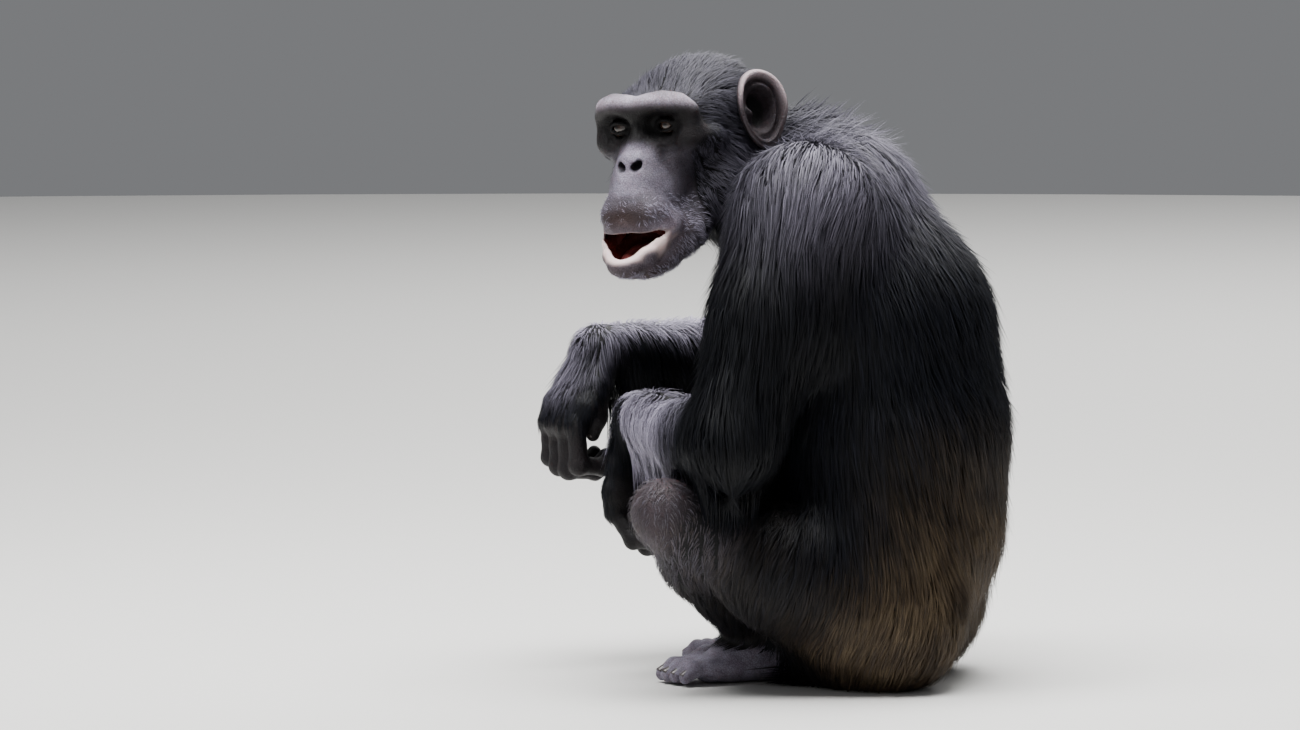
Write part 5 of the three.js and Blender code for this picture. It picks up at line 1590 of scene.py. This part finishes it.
TONGUE_AT, TONGUE_REACH, TONGUE_CELL = (102, 0, -106), 36, 1.5
TONGUE_BODY = head_lump(TONGUE_AT, (26, 17, 6.5), 4, axes=turned(HEAD, (0, 20, 0)))
TONGUE_GROOVE = head_bone((82, 0, -94), (125, 0, -108), 0.5, 0.5, 4)
# How far the tongue keeps from the skin of the mouth.
TONGUE_GAP = 1.2


def tongue_field(p):
    groove = 2.2 * np.exp(-(TONGUE_GROOVE.distance(p) / 4) ** 2)
    return np.maximum(TONGUE_BODY.distance(p) + groove, TONGUE_GAP + MOUTH(p))


class CHIMP_OT_tongue(bpy.types.Operator):
    """Builds the tongue, grooved along its middle"""
    bl_idname = "chimp.tongue"
    bl_label = "Tongue"

    def execute(self, context):
        material = new_material("Tongue, wet", tongue_nodes, context.scene.chimp_skin)
        points, quads = surface_of(tongue_field, on_head(TONGUE_AT) - TONGUE_REACH,
                                   on_head(TONGUE_AT) + TONGUE_REACH, TONGUE_CELL)
        tongue = mesh_piece("tongue_top", points, [quads], material)
        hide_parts("tongue")
        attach(tongue, "root")
        return {"FINISHED"}


NAIL_GRID = 9


def nail(tip, way, over, radius):
    """Points and quads of one nail: a bent sheet, its underside and the edge between them."""
    across = np.cross(over, way)
    u, v = (g.ravel() for g in np.meshgrid(*[np.linspace(-1, 1, NAIL_GRID)] * 2, indexing="ij"))
    bend = u * 0.95
    long = 0.62 * radius * np.sqrt(np.maximum(1 - 0.35 * u ** 4, 0)) * v
    shells = []
    for thick in (1.1, 1.0):
        r = radius * thick - 0.2 * np.abs(v) ** 6 - 0.25 * np.abs(u) ** 6
        shells.append(tip + way * (long + 2)[:, None] + across * (0.828 * r * np.sin(bend))[:, None]
                      + over * (r * np.cos(bend))[:, None])
    grid = np.arange(NAIL_GRID ** 2).reshape(NAIL_GRID, NAIL_GRID)
    top = np.stack([grid[:-1, :-1], grid[1:, :-1], grid[1:, 1:], grid[:-1, 1:]], -1).reshape(-1, 4)
    edge = np.concatenate([grid[0, :-1], grid[:-1, -1], grid[-1, :0:-1], grid[:0:-1, 0]])
    after = np.roll(edge, -1)
    rim = np.stack([edge, after, after + grid.size, edge + grid.size], 1)
    return np.concatenate(shells), np.concatenate([top, top[:, ::-1] + grid.size, rim])


class CHIMP_OT_nails(bpy.types.Operator):
    """Builds the nails of the fingers and toes"""
    bl_idname = "chimp.nails"
    bl_label = "Nails"

    def execute(self, context):
        material = new_material("Nail horn, dark", nail_nodes, context.scene.chimp_skin)
        for kind, shapes in (("finger", HANDS), ("toe", FEET)):
            points, quads = joined([nail(*tip) for shape in shapes.values() for tip in shape[1]])
            nails = mesh_piece(kind + "_nails", points, [quads], material)
            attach(nails, "root")
        return {"FINISHED"}


def coat_finish():
    """The one coat material, shared by all its pieces."""
    name = "Hair, coarse, black"
    return bpy.data.materials.get(name) or new_material(name, coat_nodes, bpy.context.scene.chimp_coat)


def grow_regions(*kinds):
    for number, region in enumerate(REGION_NAMES + ["beard"]):
        if kind_and_side(region)[0] in kinds:
            coat_region(region, number, coat_finish())
    return {"FINISHED"}


class CHIMP_OT_coat_trunk(bpy.types.Operator):
    """Grows the long coat of the back, chest and neck"""
    bl_idname = "chimp.coat_trunk"
    bl_label = "Coat of the Trunk"

    def execute(self, context):
        return grow_regions("trunk", "neck")


class CHIMP_OT_coat_head(bpy.types.Operator):
    """Grows the coat of the scalp and cheeks and the short white hair round the lips"""
    bl_idname = "chimp.coat_head"
    bl_label = "Coat of the Head"

    def execute(self, context):
        return grow_regions("head", "beard")


class CHIMP_OT_coat_arms(bpy.types.Operator):
    """Grows the coat of the arms and the backs of the hands"""
    bl_idname = "chimp.coat_arms"
    bl_label = "Coat of the Arms"

    def execute(self, context):
        return grow_regions("upper_arm", "forearm", "hand")


class CHIMP_OT_coat_legs(bpy.types.Operator):
    """Grows the coat of the legs and feet"""
    bl_idname = "chimp.coat_legs"
    bl_label = "Coat of the Legs"

    def execute(self, context):
        return grow_regions("thigh", "shin", "foot")


OPERATORS = (CHIMP_OT_stage, CHIMP_OT_skin, CHIMP_OT_eyes, CHIMP_OT_tongue, CHIMP_OT_nails,
             CHIMP_OT_coat_trunk, CHIMP_OT_coat_head, CHIMP_OT_coat_arms, CHIMP_OT_coat_legs)


class CHIMP_PT_panel(bpy.types.Panel):
    """Lists the settings and the pieces of the model"""
    bl_idname = "CHIMP_PT_panel"
    bl_label = "Chimpanzee Model"
    bl_space_type = "VIEW_3D"
    bl_region_type = "UI"
    bl_category = "Chimpanzee"

    def draw(self, context):
        for key in GROUPS:
            box = self.layout.box()
            settings = getattr(context.scene, key)
            for prop in settings.bl_rna.properties:
                if prop.identifier not in ("rna_type", "name"):
                    box.prop(settings, prop.identifier)
        for operator in OPERATORS:
            self.layout.operator(operator.bl_idname)


GROUPS = {"chimp_skin": ChimpSkinSettings, "chimp_coat": ChimpCoatSettings,
          "chimp_eye": ChimpEyeSettings, "chimp_stage": ChimpStageSettings}


def register():
    for cls in (*GROUPS.values(), *OPERATORS, CHIMP_PT_panel):
        bpy.utils.register_class(cls)
    for key, cls in GROUPS.items():
        setattr(bpy.types.Scene, key, bpy.props.PointerProperty(type=cls))


def unregister():
    for key in GROUPS:
        delattr(bpy.types.Scene, key)
    for cls in reversed((*GROUPS.values(), *OPERATORS, CHIMP_PT_panel)):
        bpy.utils.unregister_class(cls)


def main():
    register()
    for operator in OPERATORS:
        group, name = operator.bl_idname.split(".")
        getattr(getattr(bpy.ops, group), name)()


if __name__ == "__main__":
    main()
